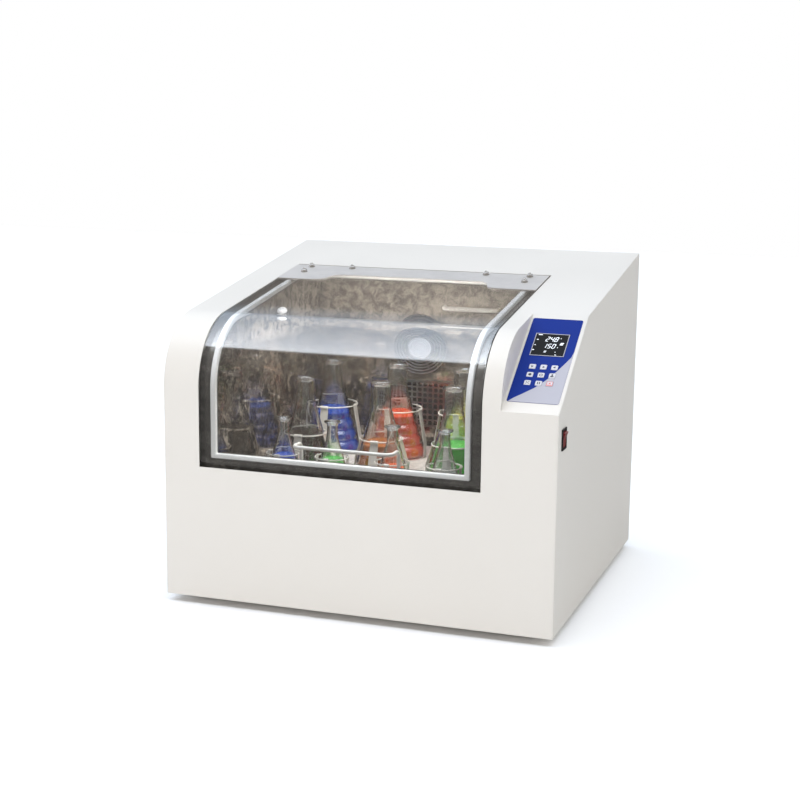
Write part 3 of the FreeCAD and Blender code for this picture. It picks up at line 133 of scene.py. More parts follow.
def grainGroup():
    # fine dimples, and a slow drift of the colour
    group, given, result = newGroup("surfaceGrain", Color=(0.8, 0.8, 0.8, 1.0), Scale=900.0, Bump=0.05,
                                    Drift=0.05, Roughness=0.4, Spread=0.12)
    place = objectPlace(group)
    fine = noiseOf(group, place, given["Scale"], 3.0)
    broad = noiseOf(group, place, 9.0, 4.0)
    return sendOut(group, result, Normal=bumpOf(group, fine, given["Bump"], 0.0004),
                   Color=mixOf(group, "MULTIPLY", given["Drift"], given["Color"], broad),
                   Roughness=mathOf(group, "MULTIPLY_ADD", broad, given["Spread"], given["Roughness"]))


def brushGroup():
    # long fine scratches along one direction, and handling marks
    group, given, result = newGroup("brushedLines", Color=(0.7, 0.7, 0.7, 1.0), Stretch=(6.0, 900.0, 900.0),
                                    Strength=0.2, Roughness=0.25, Marks=0.2, MarkScale=22.0, Spread=0.18)
    place = objectPlace(group)
    stretched = addNode(group, "VectorMath", {0: place, 1: given["Stretch"]}, operation="MULTIPLY")
    lines = noiseOf(group, stretched.outputs["Vector"], 1.0, 3.0)
    marks = rangeOf(group, noiseOf(group, place, given["MarkScale"], 6.0, 0.65), 0.35, 0.6, 0.35)
    return sendOut(group, result, Normal=bumpOf(group, lines, given["Strength"], 0.0003),
                   Color=mixOf(group, "MULTIPLY", given["Marks"], given["Color"], marks),
                   Roughness=mathOf(group, "MULTIPLY_ADD", lines, given["Spread"], given["Roughness"]))


# between these heights the chamber's sheet turns less metallic towards the roof, so its pale colour shows
# there as a painted reflection of the bright room
dullFrom, dullTo = at(0, 0, 374).z, at(0, 0, 392).z


def mirrorGroup():
    # a polished sheet that is slightly wavy, with a brown film wiped unevenly over it
    group, given, result = newGroup("polishedSheet", [("Metal", 1)], Color=(0.7, 0.7, 0.7, 1.0),
                                    Film=(0.2, 0.17, 0.14, 1.0), Dirt=0.5, Wave=0.1, Roughness=0.03,
                                    Metal=0.75, UpperMetal=0.75)
    place = objectPlace(group)
    film = rangeOf(group, noiseOf(group, place, 64.0, 9.0, 0.78, 0.6), 0.43, 0.57)
    amount = mathOf(group, "MULTIPLY", film, given["Dirt"])
    height = addNode(group, "SeparateXYZ", dict(Vector=place)).outputs["Z"]
    wave = noiseOf(group, place, 13.0, 2.0)
    # the metal share falls towards the roof: a painted reflection, the sheet's pale colour standing in for
    # the room seen in it
    return sendOut(group, result, Normal=bumpOf(group, wave, given["Wave"], 0.004),
                   Color=mixOf(group, "MIX", amount, given["Color"], given["Film"]),
                   Roughness=mathOf(group, "MULTIPLY_ADD", amount, 0.1, given["Roughness"]),
                   Metal=rangeOf(group, height, dullFrom, dullTo, given["Metal"], given["UpperMetal"]))


grain = grainGroup()
brush = brushGroup()
mirror = mirrorGroup()


def srgb(r, g, b):
    def linear(value):
        value = value / 255
        return value / 12.92 if value <= 0.04045 else ((value + 0.055) / 1.055) ** 2.4
    return tuple(linear(value) for value in (r, g, b))


def setShader(mat, values):
    for label, value in values.items():
        mat.node_tree.nodes["Principled BSDF"].inputs[label].default_value = value


def material(name, color, metallic=0.0, coat=0.0, effect=None, **values):
    mat = bpy.data.materials.new(name)
    mat.use_nodes = True
    setShader(mat, {"Metallic": metallic, "Coat Weight": coat, "Base Color": (*color, 1)})
    if effect:
        tree = mat.node_tree
        shader = tree.nodes["Principled BSDF"]
        node = addNode(tree, "Group", dict(values, Color=(*color, 1)), node_tree=effect)
        for label, target in (("Color", "Base Color"), ("Roughness", "Roughness"), ("Normal", "Normal"),
                              ("Metal", "Metallic")):
            if label in node.outputs:
                tree.links.new(node.outputs[label], shader.inputs[target])
    return mat


def grained(name, color, scale, bump, drift, roughness, **more):
    return material(name, srgb(*color), effect=grain, Scale=scale, Bump=bump, Drift=drift,
                    Roughness=roughness, **more)


def brushed(name, color, metallic, stretch, strength, roughness, marks, **more):
    return material(name, srgb(*color), metallic, effect=brush, Stretch=stretch, Strength=strength,
                    Roughness=roughness, Marks=marks, **more)


def polished(name, color, film, **more):
    return material(name, srgb(*color), effect=mirror, Film=(*srgb(*film), 1), **more)


def chooseShader(tree, factor, first, second, end):
    # the surface is the first shader where the factor is 0 and the second where it is 1
    mix = addNode(tree, "MixShader", {0: factor, 1: first.outputs[0], 2: second.outputs[0]})
    tree.links.new(mix.outputs["Shader"], tree.nodes[end].inputs["Surface"])


def glassMaterial(name, color, ior):
    # shadow rays pass straight through, so what is behind the sheet is lit
    mat = material(name, color)
    setShader(mat, {"IOR": ior, "Roughness": 0.0, "Transmission Weight": 1.0})
    tree = mat.node_tree
    shadow = addNode(tree, "LightPath").outputs["Is Shadow Ray"]
    clear = addNode(tree, "BsdfTransparent", dict(Color=(*color, 1)))
    chooseShader(tree, shadow, tree.nodes["Principled BSDF"], clear, "Material Output")
    return mat


print("finishes")
paint = grained("casingPaint", (225, 221, 214), 700.0, 0.04, 0.03, 0.32, coat=0.1)
rubber = grained("blackRubber", (28, 28, 29), 400.0, 0.25, 0.3, 0.6)
gasketRubber = grained("gasketRubber", (250, 249, 247), 300.0, 0.08, 0.05, 0.45)
# the lower UpperMetal near the roof is a painted reflection, not vapour or film
mirrorSteel = polished("mirrorSteel", (214, 203, 190), (46, 40, 35), Dirt=0.82, Wave=0.15, Roughness=0.035,
                       Metal=0.91, UpperMetal=0.62)
rimSteel = polished("rimSteel", (150, 147, 142), (70, 68, 66), Dirt=0.5, Wave=0.04, Roughness=0.16)
plateSteel = brushed("plateSteel", (214, 209, 204), 0.5, (5, 900, 900), 0.12, 0.3, 0.15, Spread=0.25)
nutSteel = brushed("nutSteel", (196, 193, 188), 0.8, (300, 300, 8), 0.08, 0.14, 0.3)
wireSteel = brushed("wireSteel", (238, 235, 230), 0.4, (300, 300, 300), 0.05, 0.26, 0.1)
stripSteel = brushed("stripSteel", (206, 202, 195), 0.5, (300, 300, 8), 0.1, 0.3, 0.2)
brushedSteel = brushed("brushedSteel", (190, 188, 184), 1.0, (5, 900, 900), 0.18, 0.2, 0.25)
brightSteel = brushed("brightSteel", (214, 214, 214), 1.0, (300, 300, 8), 0.08, 0.12, 0.15)
traySteel = brushed("traySteel", (200, 194, 187), 0.3, (420, 420, 420), 0.5, 0.34, 0.7, MarkScale=150.0)
guardWire = brushed("guardWire", (222, 224, 228), 1.0, (300, 300, 300), 0.05, 0.15, 0.2)
aluminium = brushed("turnedAluminium", (190, 191, 193), 1.0, (9, 9, 900), 0.15, 0.25, 0.2)
fanPlastic = grained("fanPlastic", (96, 98, 104), 500.0, 0.1, 0.15, 0.4)
lampPlastic = grained("lampPlastic", (238, 240, 243), 300.0, 0.03, 0.05, 0.25)
darkFoam = grained("insulationFoam", (58, 55, 52), 260.0, 0.6, 0.3, 0.8)
darkPaint = grained("motorPaint", (52, 54, 57), 600.0, 0.15, 0.2, 0.4)
castIron = grained("castIron", (98, 98, 100), 350.0, 0.6, 0.4, 0.5, metallic=0.7)
boardGreen = grained("boardLaminate", (24, 92, 48), 900.0, 0.1, 0.3, 0.35, coat=0.3)
overlayBlue = grained("overlayBlue", (15, 46, 136), 1400.0, 0.06, 0.12, 0.5)
overlayPale = grained("overlayPale", (182, 182, 192), 1400.0, 0.06, 0.04, 0.5)
screenBlack = grained("screenBlack", (14, 12, 13), 60.0, 0.0, 0.5, 0.3)
keyWhite = grained("keyWhite", (212, 212, 218), 900.0, 0.06, 0.04, 0.5)
inkDark = grained("inkDark", (30, 32, 44), 900.0, 0.02, 0.2, 0.4)
inkRed = grained("inkRed", (226, 96, 92), 900.0, 0.02, 0.1, 0.4)
switchBlack = grained("switchBlack", (22, 22, 23), 800.0, 0.2, 0.2, 0.4)
rockerRed = grained("rockerRed", (120, 20, 24), 500.0, 0.03, 0.15, 0.25, coat=0.3)
litWhite = grained("litDigits", (240, 244, 250), 500.0, 0.0, 0.02, 0.4)
lidClear = glassMaterial("lidClear", (0.97, 0.978, 0.98), 1.49)
flaskClear = glassMaterial("flaskClear", (0.98, 0.99, 0.985), 1.5)
for printed in (overlayBlue, overlayPale, screenBlack, keyWhite):
    setShader(printed, {"Specular IOR Level": 0.12})
setShader(lampPlastic, {"Emission Color": (1.0, 0.98, 0.95, 1), "Emission Strength": 0.5})
setShader(litWhite, {"Emission Color": (0.9, 0.95, 1.0, 1), "Emission Strength": 0.6})
setShader(lidClear, {"Coat Weight": 1.0, "Coat IOR": 1.62})
setShader(flaskClear, {"Coat Weight": 1.0, "Coat IOR": 1.9})

nodeFinishes = [
    (rubber, "rubber_feet", "drive_belt"),
    (brightSteel, "panel_screws", "tray_screws", "heater_tube", "temperature_probe", "hinge_pin"),
    (plateSteel, "lid_rear_plate"),
    (brushedSteel, "hinge_fixed_leaf", "hinge_lid_leaf", "return_air_grille", "drive_shaft", "idler_crank_1",
     "idler_crank_2", "idler_crank_3"),
    (mirrorSteel, "chamber_liner"),
    (darkFoam, "insulation_panels"),
    (darkPaint, "fan_impeller", "fan_motor", "shaker_motor", "drive_base"),
    (castIron, "main_bearing_housing", "idler_bearing_housings", "drive_counterweight"),
    (aluminium, "drive_pulley", "motor_pulley", "platform_carrier", "power_supply"),
    (overlayBlue, "control_overlay"),
    (screenBlack, "display_screen"),
    (boardGreen, "control_board"),
    (switchBlack, "switch_housing", "power_inlet"),
    (rockerRed, "switch_rocker"),
    (traySteel, "shaker_tray"),
    (keyWhite, *["key_%d_%d" % (row, column) for row in (1, 2, 3) for column in (1, 2, 3)]),
]
finishOf = {name: names[0] for names in nodeFinishes for name in names[1:]}
for name, node in nodes.items():
    finish = finishOf.get(name, paint)
    if not node.data.materials:
        node.data.materials.append(finish)
    for slot in node.material_slots:
        slot.material = finish


# mesh helpers
def finishPiece(name, bm, finishes, body, replaced=(), angle=35, bevel=0.0, segments=2, weld=1e-6):
    bmesh.ops.remove_doubles(bm, verts=bm.verts, dist=weld)
    bmesh.ops.recalc_face_normals(bm, faces=bm.faces)
    if bevel:
        sharp = [edge for edge in bm.edges
                 if len(edge.link_faces) == 2 and edge.calc_face_angle(0) > math.radians(30)]
        bmesh.ops.bevel(bm, geom=sharp, offset=bevel, offset_type="OFFSET", segments=segments, profile=0.5,
                        affect="EDGES", clamp_overlap=True, material=-1)
    mesh = bpy.data.meshes.new(name)
    bm.to_mesh(mesh)
    bm.free()
    for polygon in mesh.polygons:
        polygon.use_smooth = True
    mesh.set_sharp_from_angle(angle=math.radians(angle))
    for finish in finishes:
        mesh.materials.append(finish)
    piece = bpy.data.objects.new(name, mesh)
    bpy.context.scene.collection.objects.link(piece)
    if bevel:
        even = piece.modifiers.new("evenShading", "WEIGHTED_NORMAL")
        even.keep_sharp = True
    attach(piece, body)
    if replaced:
        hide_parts(*replaced)


def only(items, kind):
    return [item for item in items if isinstance(item, kind)]


def cornersOf(items):
    # the points of edges or faces, each once and always in the same order
    return list(dict.fromkeys(vert for item in items for vert in item.verts))


def shift(bm, reach):
    bmesh.ops.translate(bm, verts=bm.verts, vec=reach)


def turnBy(bm, angle, axis):
    bmesh.ops.rotate(bm, verts=bm.verts, cent=(0, 0, 0), matrix=Matrix.Rotation(angle, 3, axis))


def spin(bm, geom, centre, axis, angle, steps, merge=False):
    return bmesh.ops.spin(bm, geom=geom, cent=centre, axis=axis, dvec=(0, 0, 0), angle=angle, steps=steps,
                          use_merge=merge, use_duplicate=False)["geom_last"]


def pull(bm, edges, reach):
    # carries a row of edges along by one straight step and gives back the new row
    made = bmesh.ops.extrude_edge_only(bm, edges=edges)["geom"]
    verts = only(made, bmesh.types.BMVert)
    bmesh.ops.translate(bm, verts=verts, vec=reach)
    return [edge for edge in only(made, bmesh.types.BMEdge) if all(vert in verts for vert in edge.verts)]


def raiseFaces(bm, reach):
    # draws all the faces out into a solid along reach
    made = bmesh.ops.extrude_face_region(bm, geom=list(bm.faces))["geom"]
    bmesh.ops.translate(bm, verts=only(made, bmesh.types.BMVert), vec=reach)


def edgeRow(bm, points):
    verts = [bm.verts.new(place) for place in points]
    return [bm.edges.new(pair) for pair in zip(verts, verts[1:])]


def bendOver(bm, geom, steps):
    # carries the upright front over into the sloping top
    return spin(bm, geom, at(0, casing["bend"], bendZ), (1, 0, 0), slopeAngle - math.pi / 2, steps)


def curvedSheet(bm, inset, columns, heights, depths, steps=32):
    # a sheet that follows the casing's front, bend and sloping top
    row = edgeRow(bm, [at(x, inset, heights[0]) for x in columns])
    for low, high in zip(heights, heights[1:] + [bendZ]):
        row = pull(bm, row, Vector((0, 0, (high - low) / 1000)))
    turned = bendOver(bm, cornersOf(row) + row, steps)
    row = only(turned, bmesh.types.BMEdge)
    reach = casing["bend"] - (casing["bend"] - inset) * math.sin(slopeAngle)
    for depth in depths:
        step = (depth - reach) / 1000
        row = pull(bm, row, Vector((0, step, step * math.tan(slopeAngle))))
        reach = depth
    return bm


def dropFaces(bm, gone):
    # takes out the faces for which gone is true
    bmesh.ops.delete(bm, geom=[face for face in bm.faces if gone(face)], context="FACES")


def dropMouth(bm, left, right, sill, rear):
    # takes out what lies between left and right, above the sill and in front of the rear
    low = at(left, 0, sill)
    high = at(right, rear, 0)

    def inMouth(face):
        place = face.calc_center_median()
        return low.x < place.x < high.x and place.z > low.z and place.y < high.y

    dropFaces(bm, inMouth)


def splitFaces(bm, faces, place, normal):
    # cuts the given faces in two along a plane
    chosen = set(faces)
    parts = [part for part in (*bm.verts, *bm.edges) if chosen.intersection(part.link_faces)]
    bmesh.ops.bisect_plane(bm, geom=faces + parts, plane_co=place, plane_no=normal)


def thicken(bm, amount):
    bmesh.ops.remove_doubles(bm, verts=bm.verts, dist=1e-6)
    bmesh.ops.recalc_face_normals(bm, faces=bm.faces)
    front = min(bm.faces, key=lambda face: face.calc_center_median().y)
    if front.normal.y >= 0:
        bmesh.ops.reverse_faces(bm, faces=bm.faces)
    bmesh.ops.solidify(bm, geom=bm.faces, thickness=amount)


def roundVerts(bm, verts, size, segments):
    # rounds a flat outline at the given points, with the size in millimetres
    bmesh.ops.bevel(bm, geom=verts, offset=size / 1000, offset_type="OFFSET", segments=segments, profile=0.5,
                    affect="VERTICES", clamp_overlap=True, material=-1)


def revolve(bm, outline, middle, rounds=(), steps=40):
    # outline is radius and height pairs in millimetres, turned about the upright line through middle
    verts = [bm.verts.new(Vector((radius / 1000, 0, height / 1000))) for radius, height in outline]
    for pair in zip(verts, verts[1:]):
        bm.edges.new(pair)
    for index, size in sorted(rounds, reverse=True):
        roundVerts(bm, [verts[index]], size, 4)
    wires = [edge for edge in bm.edges if not edge.link_faces]
    spin(bm, cornersOf(wires) + wires, (0, 0, 0), (0, 0, 1), math.tau, steps, merge=True)
    bmesh.ops.remove_doubles(bm, verts=bm.verts, dist=1e-6)
    shift(bm, middle)


def addMesh(target, source, finish=0):
    # puts one bmesh into another, with its faces on the given material slot
    mesh = bpy.data.meshes.new("part")
    bmesh.ops.recalc_face_normals(source, faces=source.faces)
    source.to_mesh(mesh)
    source.free()
    before = len(target.faces)
    target.from_mesh(mesh)
    bpy.data.meshes.remove(mesh)
    target.faces.ensure_lookup_table()
    for index in range(before, len(target.faces)):
        target.faces[index].material_index = finish


def ring(middle, radius, wire, axis="Z", steps=48, sides=10):
    bm = bmesh.new()
    bmesh.ops.create_circle(bm, segments=sides, radius=wire, cap_ends=False)
    turnBy(bm, math.pi / 2, "X")
    shift(bm, (radius, 0, 0))
    spin(bm, list(bm.verts) + list(bm.edges), (0, 0, 0), (0, 0, 1), math.tau, steps, merge=True)
    if axis == "Y":
        turnBy(bm, math.pi / 2, "X")
    shift(bm, middle)
    return bm


def bar(start, runs, radius, bend, sides=14):
    # a round bar through straight runs, each a vector, with one bend radius between them
    bm = bmesh.new()
    bmesh.ops.create_circle(bm, segments=sides, radius=radius, cap_ends=True)
    heading = runs[0].normalized()
    turn = Vector((0, 0, 1)).rotation_difference(heading).to_matrix()
    bmesh.ops.rotate(bm, verts=bm.verts, cent=(0, 0, 0), matrix=turn)
    shift(bm, start)
    cap = list(bm.faces)
    place = start.copy()
    for index, run in enumerate(runs):
        heading = run.normalized()
        length = run.length - (bend if index else 0) - (bend if index < len(runs) - 1 else 0)
        made = bmesh.ops.extrude_face_region(bm, geom=cap)["geom"]
        bmesh.ops.translate(bm, verts=only(made, bmesh.types.BMVert), vec=heading * length)
        if index:
            bmesh.ops.delete(bm, geom=cap, context="FACES_ONLY")
        cap = only(made, bmesh.types.BMFace)
        place = place + heading * length
        if index < len(runs) - 1:
            following = runs[index + 1].normalized()
            centre = place + following * bend
            turned = spin(bm, cap, centre, heading.cross(following), math.pi / 2, 8)
            cap = only(turned, bmesh.types.BMFace)
            place = centre + heading * bend
    return bm


def cone(middle, low, top, depth, segments):
    # an upright disc or cone with its radii and depth in millimetres
    bm = bmesh.new()
    bmesh.ops.create_cone(bm, cap_ends=True, segments=segments, radius1=low / 1000, radius2=top / 1000,
                          depth=depth / 1000)
    shift(bm, middle)
    return bm


# casing
print("casing")
lid = dict(left=60.0, right=506.0, bottom=215.0, back=387.5, thickness=5.0, sideGap=1.5, openingBottom=208.0,
           openingBack=397.0, centre=283.0)
keys = dict(size=9.4, gap=0.3, firstAcross=560.0, pitchAcross=16.5, firstAlong=61.0, pitchAlong=17.0,
            rise=1.1)
screen = dict(left=549.5, right=601.5, start=118.0, top=167.0, end=171.0, rise=1.0)
panelEnd = (frontLine - casing["panelHeight"]) / (math.tan(panelAngle) - math.tan(slopeAngle))
upSlope = (onPanel(0, 1) - onPanel(0, 0)).normalized()
panelNormal = (onPanel(0, 0, 1) - onPanel(0, 0)).normalized()


def cutKeyHoles(bm):
    # splits what lies on the panel along each key's edges and takes the keys' places out
    half = keys["size"] / 2 + keys["gap"]
    firstSpot = onPanel(keys["firstAcross"], keys["firstAlong"])

    def onSlope(face):
        return abs((face.calc_center_median() - firstSpot).dot(panelNormal)) < 0.001

    for index in range(3):
        for edge in (-half, half):
            across = keys["firstAcross"] + index * keys["pitchAcross"] + edge
            along = keys["firstAlong"] + index * keys["pitchAlong"] + edge
            for place, normal in ((onPanel(across, 0), (1, 0, 0)), (onPanel(0, along), upSlope)):
                splitFaces(bm, [face for face in bm.faces if onSlope(face)], place, normal)

    def inRow(reach, pitch):
        return any(abs(reach * 1000 - index * pitch) < half for index in range(3))

    def inKey(face):
        reach = face.calc_center_median() - firstSpot
        across = inRow(reach.x, keys["pitchAcross"])
        return onSlope(face) and across and inRow(reach.dot(upSlope), keys["pitchAlong"])

    dropFaces(bm, inKey)


def casingCover():
    sheet = casing["sheet"]
    openLeft = lid["left"] - lid["sideGap"]
    openRight = lid["right"] + lid["sideGap"]
    rear = casing["depth"] - sheet
    bm = bmesh.new()
    columns = [sheet, openLeft, openRight, casing["recessLeft"]]
    curvedSheet(bm, 0, columns, [0, lid["openingBottom"]], [panelEnd, lid["openingBack"], rear])
    dropMouth(bm, openLeft, openRight, lid["openingBottom"], lid["openingBack"])
    row = edgeRow(bm, [at(casing["recessLeft"], 0, 0), at(casing["width"] - sheet, 0, 0)])
    stops = [0, lid["openingBottom"], bendZ, casing["panelHeight"]]
    for low, high in zip(stops, stops[1:]):
        row = pull(bm, row, Vector((0, 0, (high - low) / 1000)))
    row = pull(bm, row, onPanel(0, panelEnd / math.cos(panelAngle)) - onPanel(0, 0))
    for low, high in ((panelEnd, lid["openingBack"]), (lid["openingBack"], rear)):
        step = (high - low) / 1000
        row = pull(bm, row, Vector((0, step, step * math.tan(slopeAngle))))
    bmesh.ops.remove_doubles(bm, verts=bm.verts, dist=1e-6)
    # the recess's left wall closes the step between the curve and the sloping panel
    side = at(casing["recessLeft"], 0, 0).x
    loop = [edge for edge in bm.edges if len(edge.link_faces) == 1 and
            all(abs(vert.co.x - side) < 1e-6 for vert in edge.verts) and
            max(vert.co.y for vert in edge.verts) < at(0, panelEnd, 0).y + 1e-5 and
            max(vert.co.z for vert in edge.verts) > at(0, 0, bendZ).z - 1e-5]
    bmesh.ops.contextual_create(bm, geom=loop)
    cutKeyHoles(bm)
    thicken(bm, sheet / 1000)
    finishPiece("casingCover", bm, [paint], "cabinet", ["front_top_cover"], bevel=0.0007, angle=40)


def sideOutline(bm, x, curved):
    if curved:
        edges = edgeRow(bm, [at(x, 0, 0), at(x, 0, bendZ)])
        last = edges[-1].verts[1]
        end = only(bendOver(bm, [last], 32), bmesh.types.BMVert)[0]
    else:
        edges = edgeRow(bm, [at(x, 0, 0), at(x, 0, casing["panelHeight"]),
                             at(x, panelEnd, topHeight(panelEnd))])
        end = edges[-1].verts[1]
    first = edges[0].verts[0]
    top = bm.verts.new(at(x, casing["depth"], topHeight(casing["depth"])))
    bottom = bm.verts.new(at(x, casing["depth"], 0))
    for pair in ((end, top), (top, bottom), (bottom, first)):
        bm.edges.new(pair)
    bmesh.ops.contextual_create(bm, geom=list(bm.edges))


def sidePanel(name, x, thickness, curved, replaced, hole=None):
    bm = bmesh.new()
    sideOutline(bm, x, curved)
    if hole:
        low, high = at(x, hole[0], hole[2]), at(x, hole[1], hole[3])
        for normal in ((0, 1, 0), (0, 0, 1)):
            for place in (low, high):
                splitFaces(bm, list(bm.faces), place, normal)

        def inHole(face):
            place = face.calc_center_median()
            return low.y < place.y < high.y and low.z < place.z < high.z

        dropFaces(bm, inHole)
    raiseFaces(bm, (thickness / 1000, 0, 0))
    finishPiece(name, bm, [paint], "cabinet", [replaced], bevel=0.0005, angle=40)


casingCover()
sidePanel("leftPanel", 0, casing["sheet"], True, "left_side_panel")
sidePanel("rightPanel", casing["width"] - casing["sheet"], casing["sheet"], False, "right_side_panel",
          hole=(21.0, 42.0, 277.0, 304.0))


# chamber
print("chamber")
chamber = dict(left=85.5, right=480.5, sill=230.5, roofFront=352.0, gasketInset=5.3, gasketDeep=7.8,
               gasketWide=8.6, gasketMargin=0.5, rimInset=13.3, rimSheet=1.2, rimReach=233.0, rimBottom=199.0,
               rimBack=407.0)


def gasketLoop():
    margin = chamber["gasketMargin"]
    wide = chamber["gasketWide"]
    left = chamber["left"] - margin
    far = chamber["right"] + margin
    low = chamber["sill"] - margin
    rear = chamber["roofFront"] + margin
    bm = bmesh.new()
    curvedSheet(bm, chamber["gasketInset"], [left - wide, left, far, far + wide], [low - wide + 1, low],
                [rear, rear + wide])
    dropMouth(bm, left, far, low, rear)
    thicken(bm, chamber["gasketDeep"] / 1000)
    finishPiece("rimGasket", bm, [gasketRubber], "cabinet", ["rim_gasket"], bevel=0.0018, segments=3,
                angle=50)


def rimBand():
    left = chamber["left"]
    far = chamber["right"]
    reach = chamber["rimReach"]
    centre = lid["centre"]
    bm = bmesh.new()
    curvedSheet(bm, chamber["rimInset"], [centre - reach, left, far, centre + reach],
                [chamber["rimBottom"], chamber["sill"]], [chamber["roofFront"], chamber["rimBack"]])
    dropMouth(bm, left, far, chamber["sill"], chamber["roofFront"])
    thicken(bm, chamber["rimSheet"] / 1000)
    finishPiece("chamberRim", bm, [rimSteel], "cabinet", ["chamber_rim"], angle=40)


gasketLoop()
rimBand()

fan = dict(x=272.0, z=350.0, radius=48.5, wire=1.4, rings=6, inner=22.0, front=424.6, spokeWire=0.9,
           spokeBend=1.5, spokeFoot=4.2, ridges=10, ridgePitch=2.0, ridgeHigh=0.8, ridgeLow=-0.2)


def fanGuard():
    bm = bmesh.new()
    middle = at(fan["x"], fan["front"] + 1, fan["z"])
    spokeReach = (fan["radius"] - fan["inner"]) / 1000
    for index in range(fan["rings"]):
        share = index / (fan["rings"] - 1)
        radius = fan["radius"] + (fan["inner"] - fan["radius"]) * share
        addMesh(bm, ring(middle, radius / 1000, fan["wire"] / 1000, axis="Y"))
    for turn in (45, 135, 225, 315):
        runs = [Vector((spokeReach, 0, 0)), Vector((0, fan["spokeFoot"] / 1000, 0))]
        spoke = bar(Vector((fan["inner"] / 1000, 0, 0)), runs, fan["spokeWire"] / 1000,
                    fan["spokeBend"] / 1000, sides=8)
        turnBy(spoke, math.radians(turn), "Y")
        shift(spoke, middle + Vector((0, 0.0002, 0)))
        addMesh(bm, spoke)
    # the middle plate has pressed ridges
    disc = bmesh.new()
    edge = fan["inner"] + 0.5
    high = fan["ridgeHigh"]
    outline = [(0, -high), (edge, -high), (edge, 0.3)]
    outline += [(fan["inner"] - fan["ridgePitch"] * step, high if step % 2 else fan["ridgeLow"])
                for step in range(1, fan["ridges"] + 1)]
    revolve(disc, outline + [(0, high)], Vector())
    turnBy(disc, math.pi / 2, "X")
    shift(disc, middle)
    addMesh(bm, disc, 1)
    finishPiece("fanGuard", bm, [guardWire, fanPlastic], "cabinet", ["fan_guard"], angle=50)


fanGuard()


def chamberLamp():
    # a small round-ended cover in the middle of the lamp's place
    low, high = (Vector(corner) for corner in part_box("chamber_lamp"))
    middle = (low + high) / 2
    reach = high - low
    bm = bmesh.new()
    bmesh.ops.create_uvsphere(bm, u_segments=32, v_segments=18, radius=0.5)
    bmesh.ops.scale(bm, verts=bm.verts, vec=(reach.x, reach.y * 0.7, reach.z * 0.7))
    shift(bm, middle + Vector((0, 0, reach.z * 0.15)))
    finishPiece("chamberLamp", bm, [lampPlastic], "cabinet", ["chamber_lamp"], angle=60)


chamberLamp()

grille = dict(left=185.0, right=381.0, bottom=207.0, top=289.0, front=423.9, rise=6.0, pitch=9.6, columns=19,
              rows=8, hole=2.95)


def airGrille():
    bm = bmesh.new()
    columns, rows, pitch = grille["columns"], grille["rows"], grille["pitch"] / 1000
    bmesh.ops.create_grid(bm, x_segments=columns, y_segments=rows, size=0.5)
    bmesh.ops.scale(bm, verts=bm.verts, vec=(columns * pitch, rows * pitch, 1))
    cells = list(bm.faces)
    inset = (grille["pitch"] / 2 - grille["hole"]) / 1000
    bmesh.ops.inset_individual(bm, faces=cells, thickness=inset, depth=0)
    corners = cornersOf(cells)
    bmesh.ops.delete(bm, geom=cells, context="FACES_ONLY")
    roundVerts(bm, corners, grille["hole"] * 0.88, 4)
    outer = [edge for edge in bm.edges if len(edge.link_faces) == 1 and
             (min(abs(vert.co.x) for vert in edge.verts) > columns * pitch / 2 - 1e-6 or
              min(abs(vert.co.y) for vert in edge.verts) > rows * pitch / 2 - 1e-6)]
    outer = pull(bm, outer, Vector())
    wide = (grille["right"] - grille["left"]) / 1000 / (columns * pitch)
    tall = (grille["top"] - grille["bottom"]) / 1000 / (rows * pitch)
    bmesh.ops.scale(bm, verts=cornersOf(outer), vec=(wide, tall, 1))
    pull(bm, outer, Vector((0, 0, -(grille["rise"] - 0.3) / 1000)))
    turnBy(bm, math.pi / 2, "X")
    shift(bm, at((grille["left"] + grille["right"]) / 2, grille["front"],
                 (grille["bottom"] + grille["top"]) / 2))
    thicken(bm, 0.001)
    finishPiece("airGrille", bm, [brushedSteel], "cabinet", ["return_air_grille"], angle=40)


airGrille()

heater = dict(left=315.0, right=410.0, z=413.0, stand=14.0, wall=442.0, back=430.0, radius=4.0, bend=11.0)


def heaterTube():
    reach = (heater["wall"] - heater["back"] + heater["stand"]) / 1000
    across = (heater["right"] - heater["left"]) / 1000
    bm = bar(at(heater["left"], heater["wall"], heater["z"]),
             [Vector((0, -reach, 0)), Vector((across, 0, 0)), Vector((0, reach, 0))],
             heater["radius"] / 1000, heater["bend"] / 1000)
    finishPiece("heaterTube", bm, [wireSteel], "cabinet", ["heater_tube"], angle=50)


heaterTube()


# control panel
print("panel")
panelEdge = [(614.5, 130.0), (612.6, 118.0), (607.0, 106.0), (597.5, 87.0), (586.0, 68.0), (572.0, 50.5),
             (557.0, 37.0), (547.5, 29.0), (540.0, 21.0)]
film = dict(lift=0.62, thick=0.12)
ink = dict(lift=0.02, thick=0.08, bar=0.95, slant=0.22)


def paleCorner():
    # the pale lower right part of the overlay, a film on the blue one
    bm = bmesh.new()
    points = panelEdge + [(613.5, 21.0), (614.5, 22.0)]
    bm.faces.new([bm.verts.new(onPanel(across, along, film["lift"])) for across, along in points])
    cutKeyHoles(bm)
    raiseFaces(bm, onPanel(0, 0, film["thick"]) - onPanel(0, 0))
    finishPiece("paleCorner", bm, [overlayPale], "cabinet", angle=30)


def plate(bm, across, along, wide, tall, lift, thick=ink["thick"], slant=0.0, finish=0, sides=4, turn=0.0):
    # a small raised printed shape on the panel: four sides make a bar, more make a disc
    shape = bmesh.new()
    if sides == 4:
        bmesh.ops.create_grid(shape, x_segments=1, y_segments=1, size=0.5)
    else:
        bmesh.ops.create_circle(shape, cap_ends=True, segments=sides, radius=0.5)
    turnBy(shape, turn, "Z")
    bmesh.ops.scale(shape, verts=shape.verts, vec=(wide / 1000, tall / 1000, 1))
    for vert in shape.verts:
        vert.co.x += vert.co.y * slant
    raiseFaces(shape, (0, 0, thick / 1000))
    turnBy(shape, panelAngle, "X")
    shift(shape, onPanel(across, along, lift))
    addMesh(bm, shape, finish)


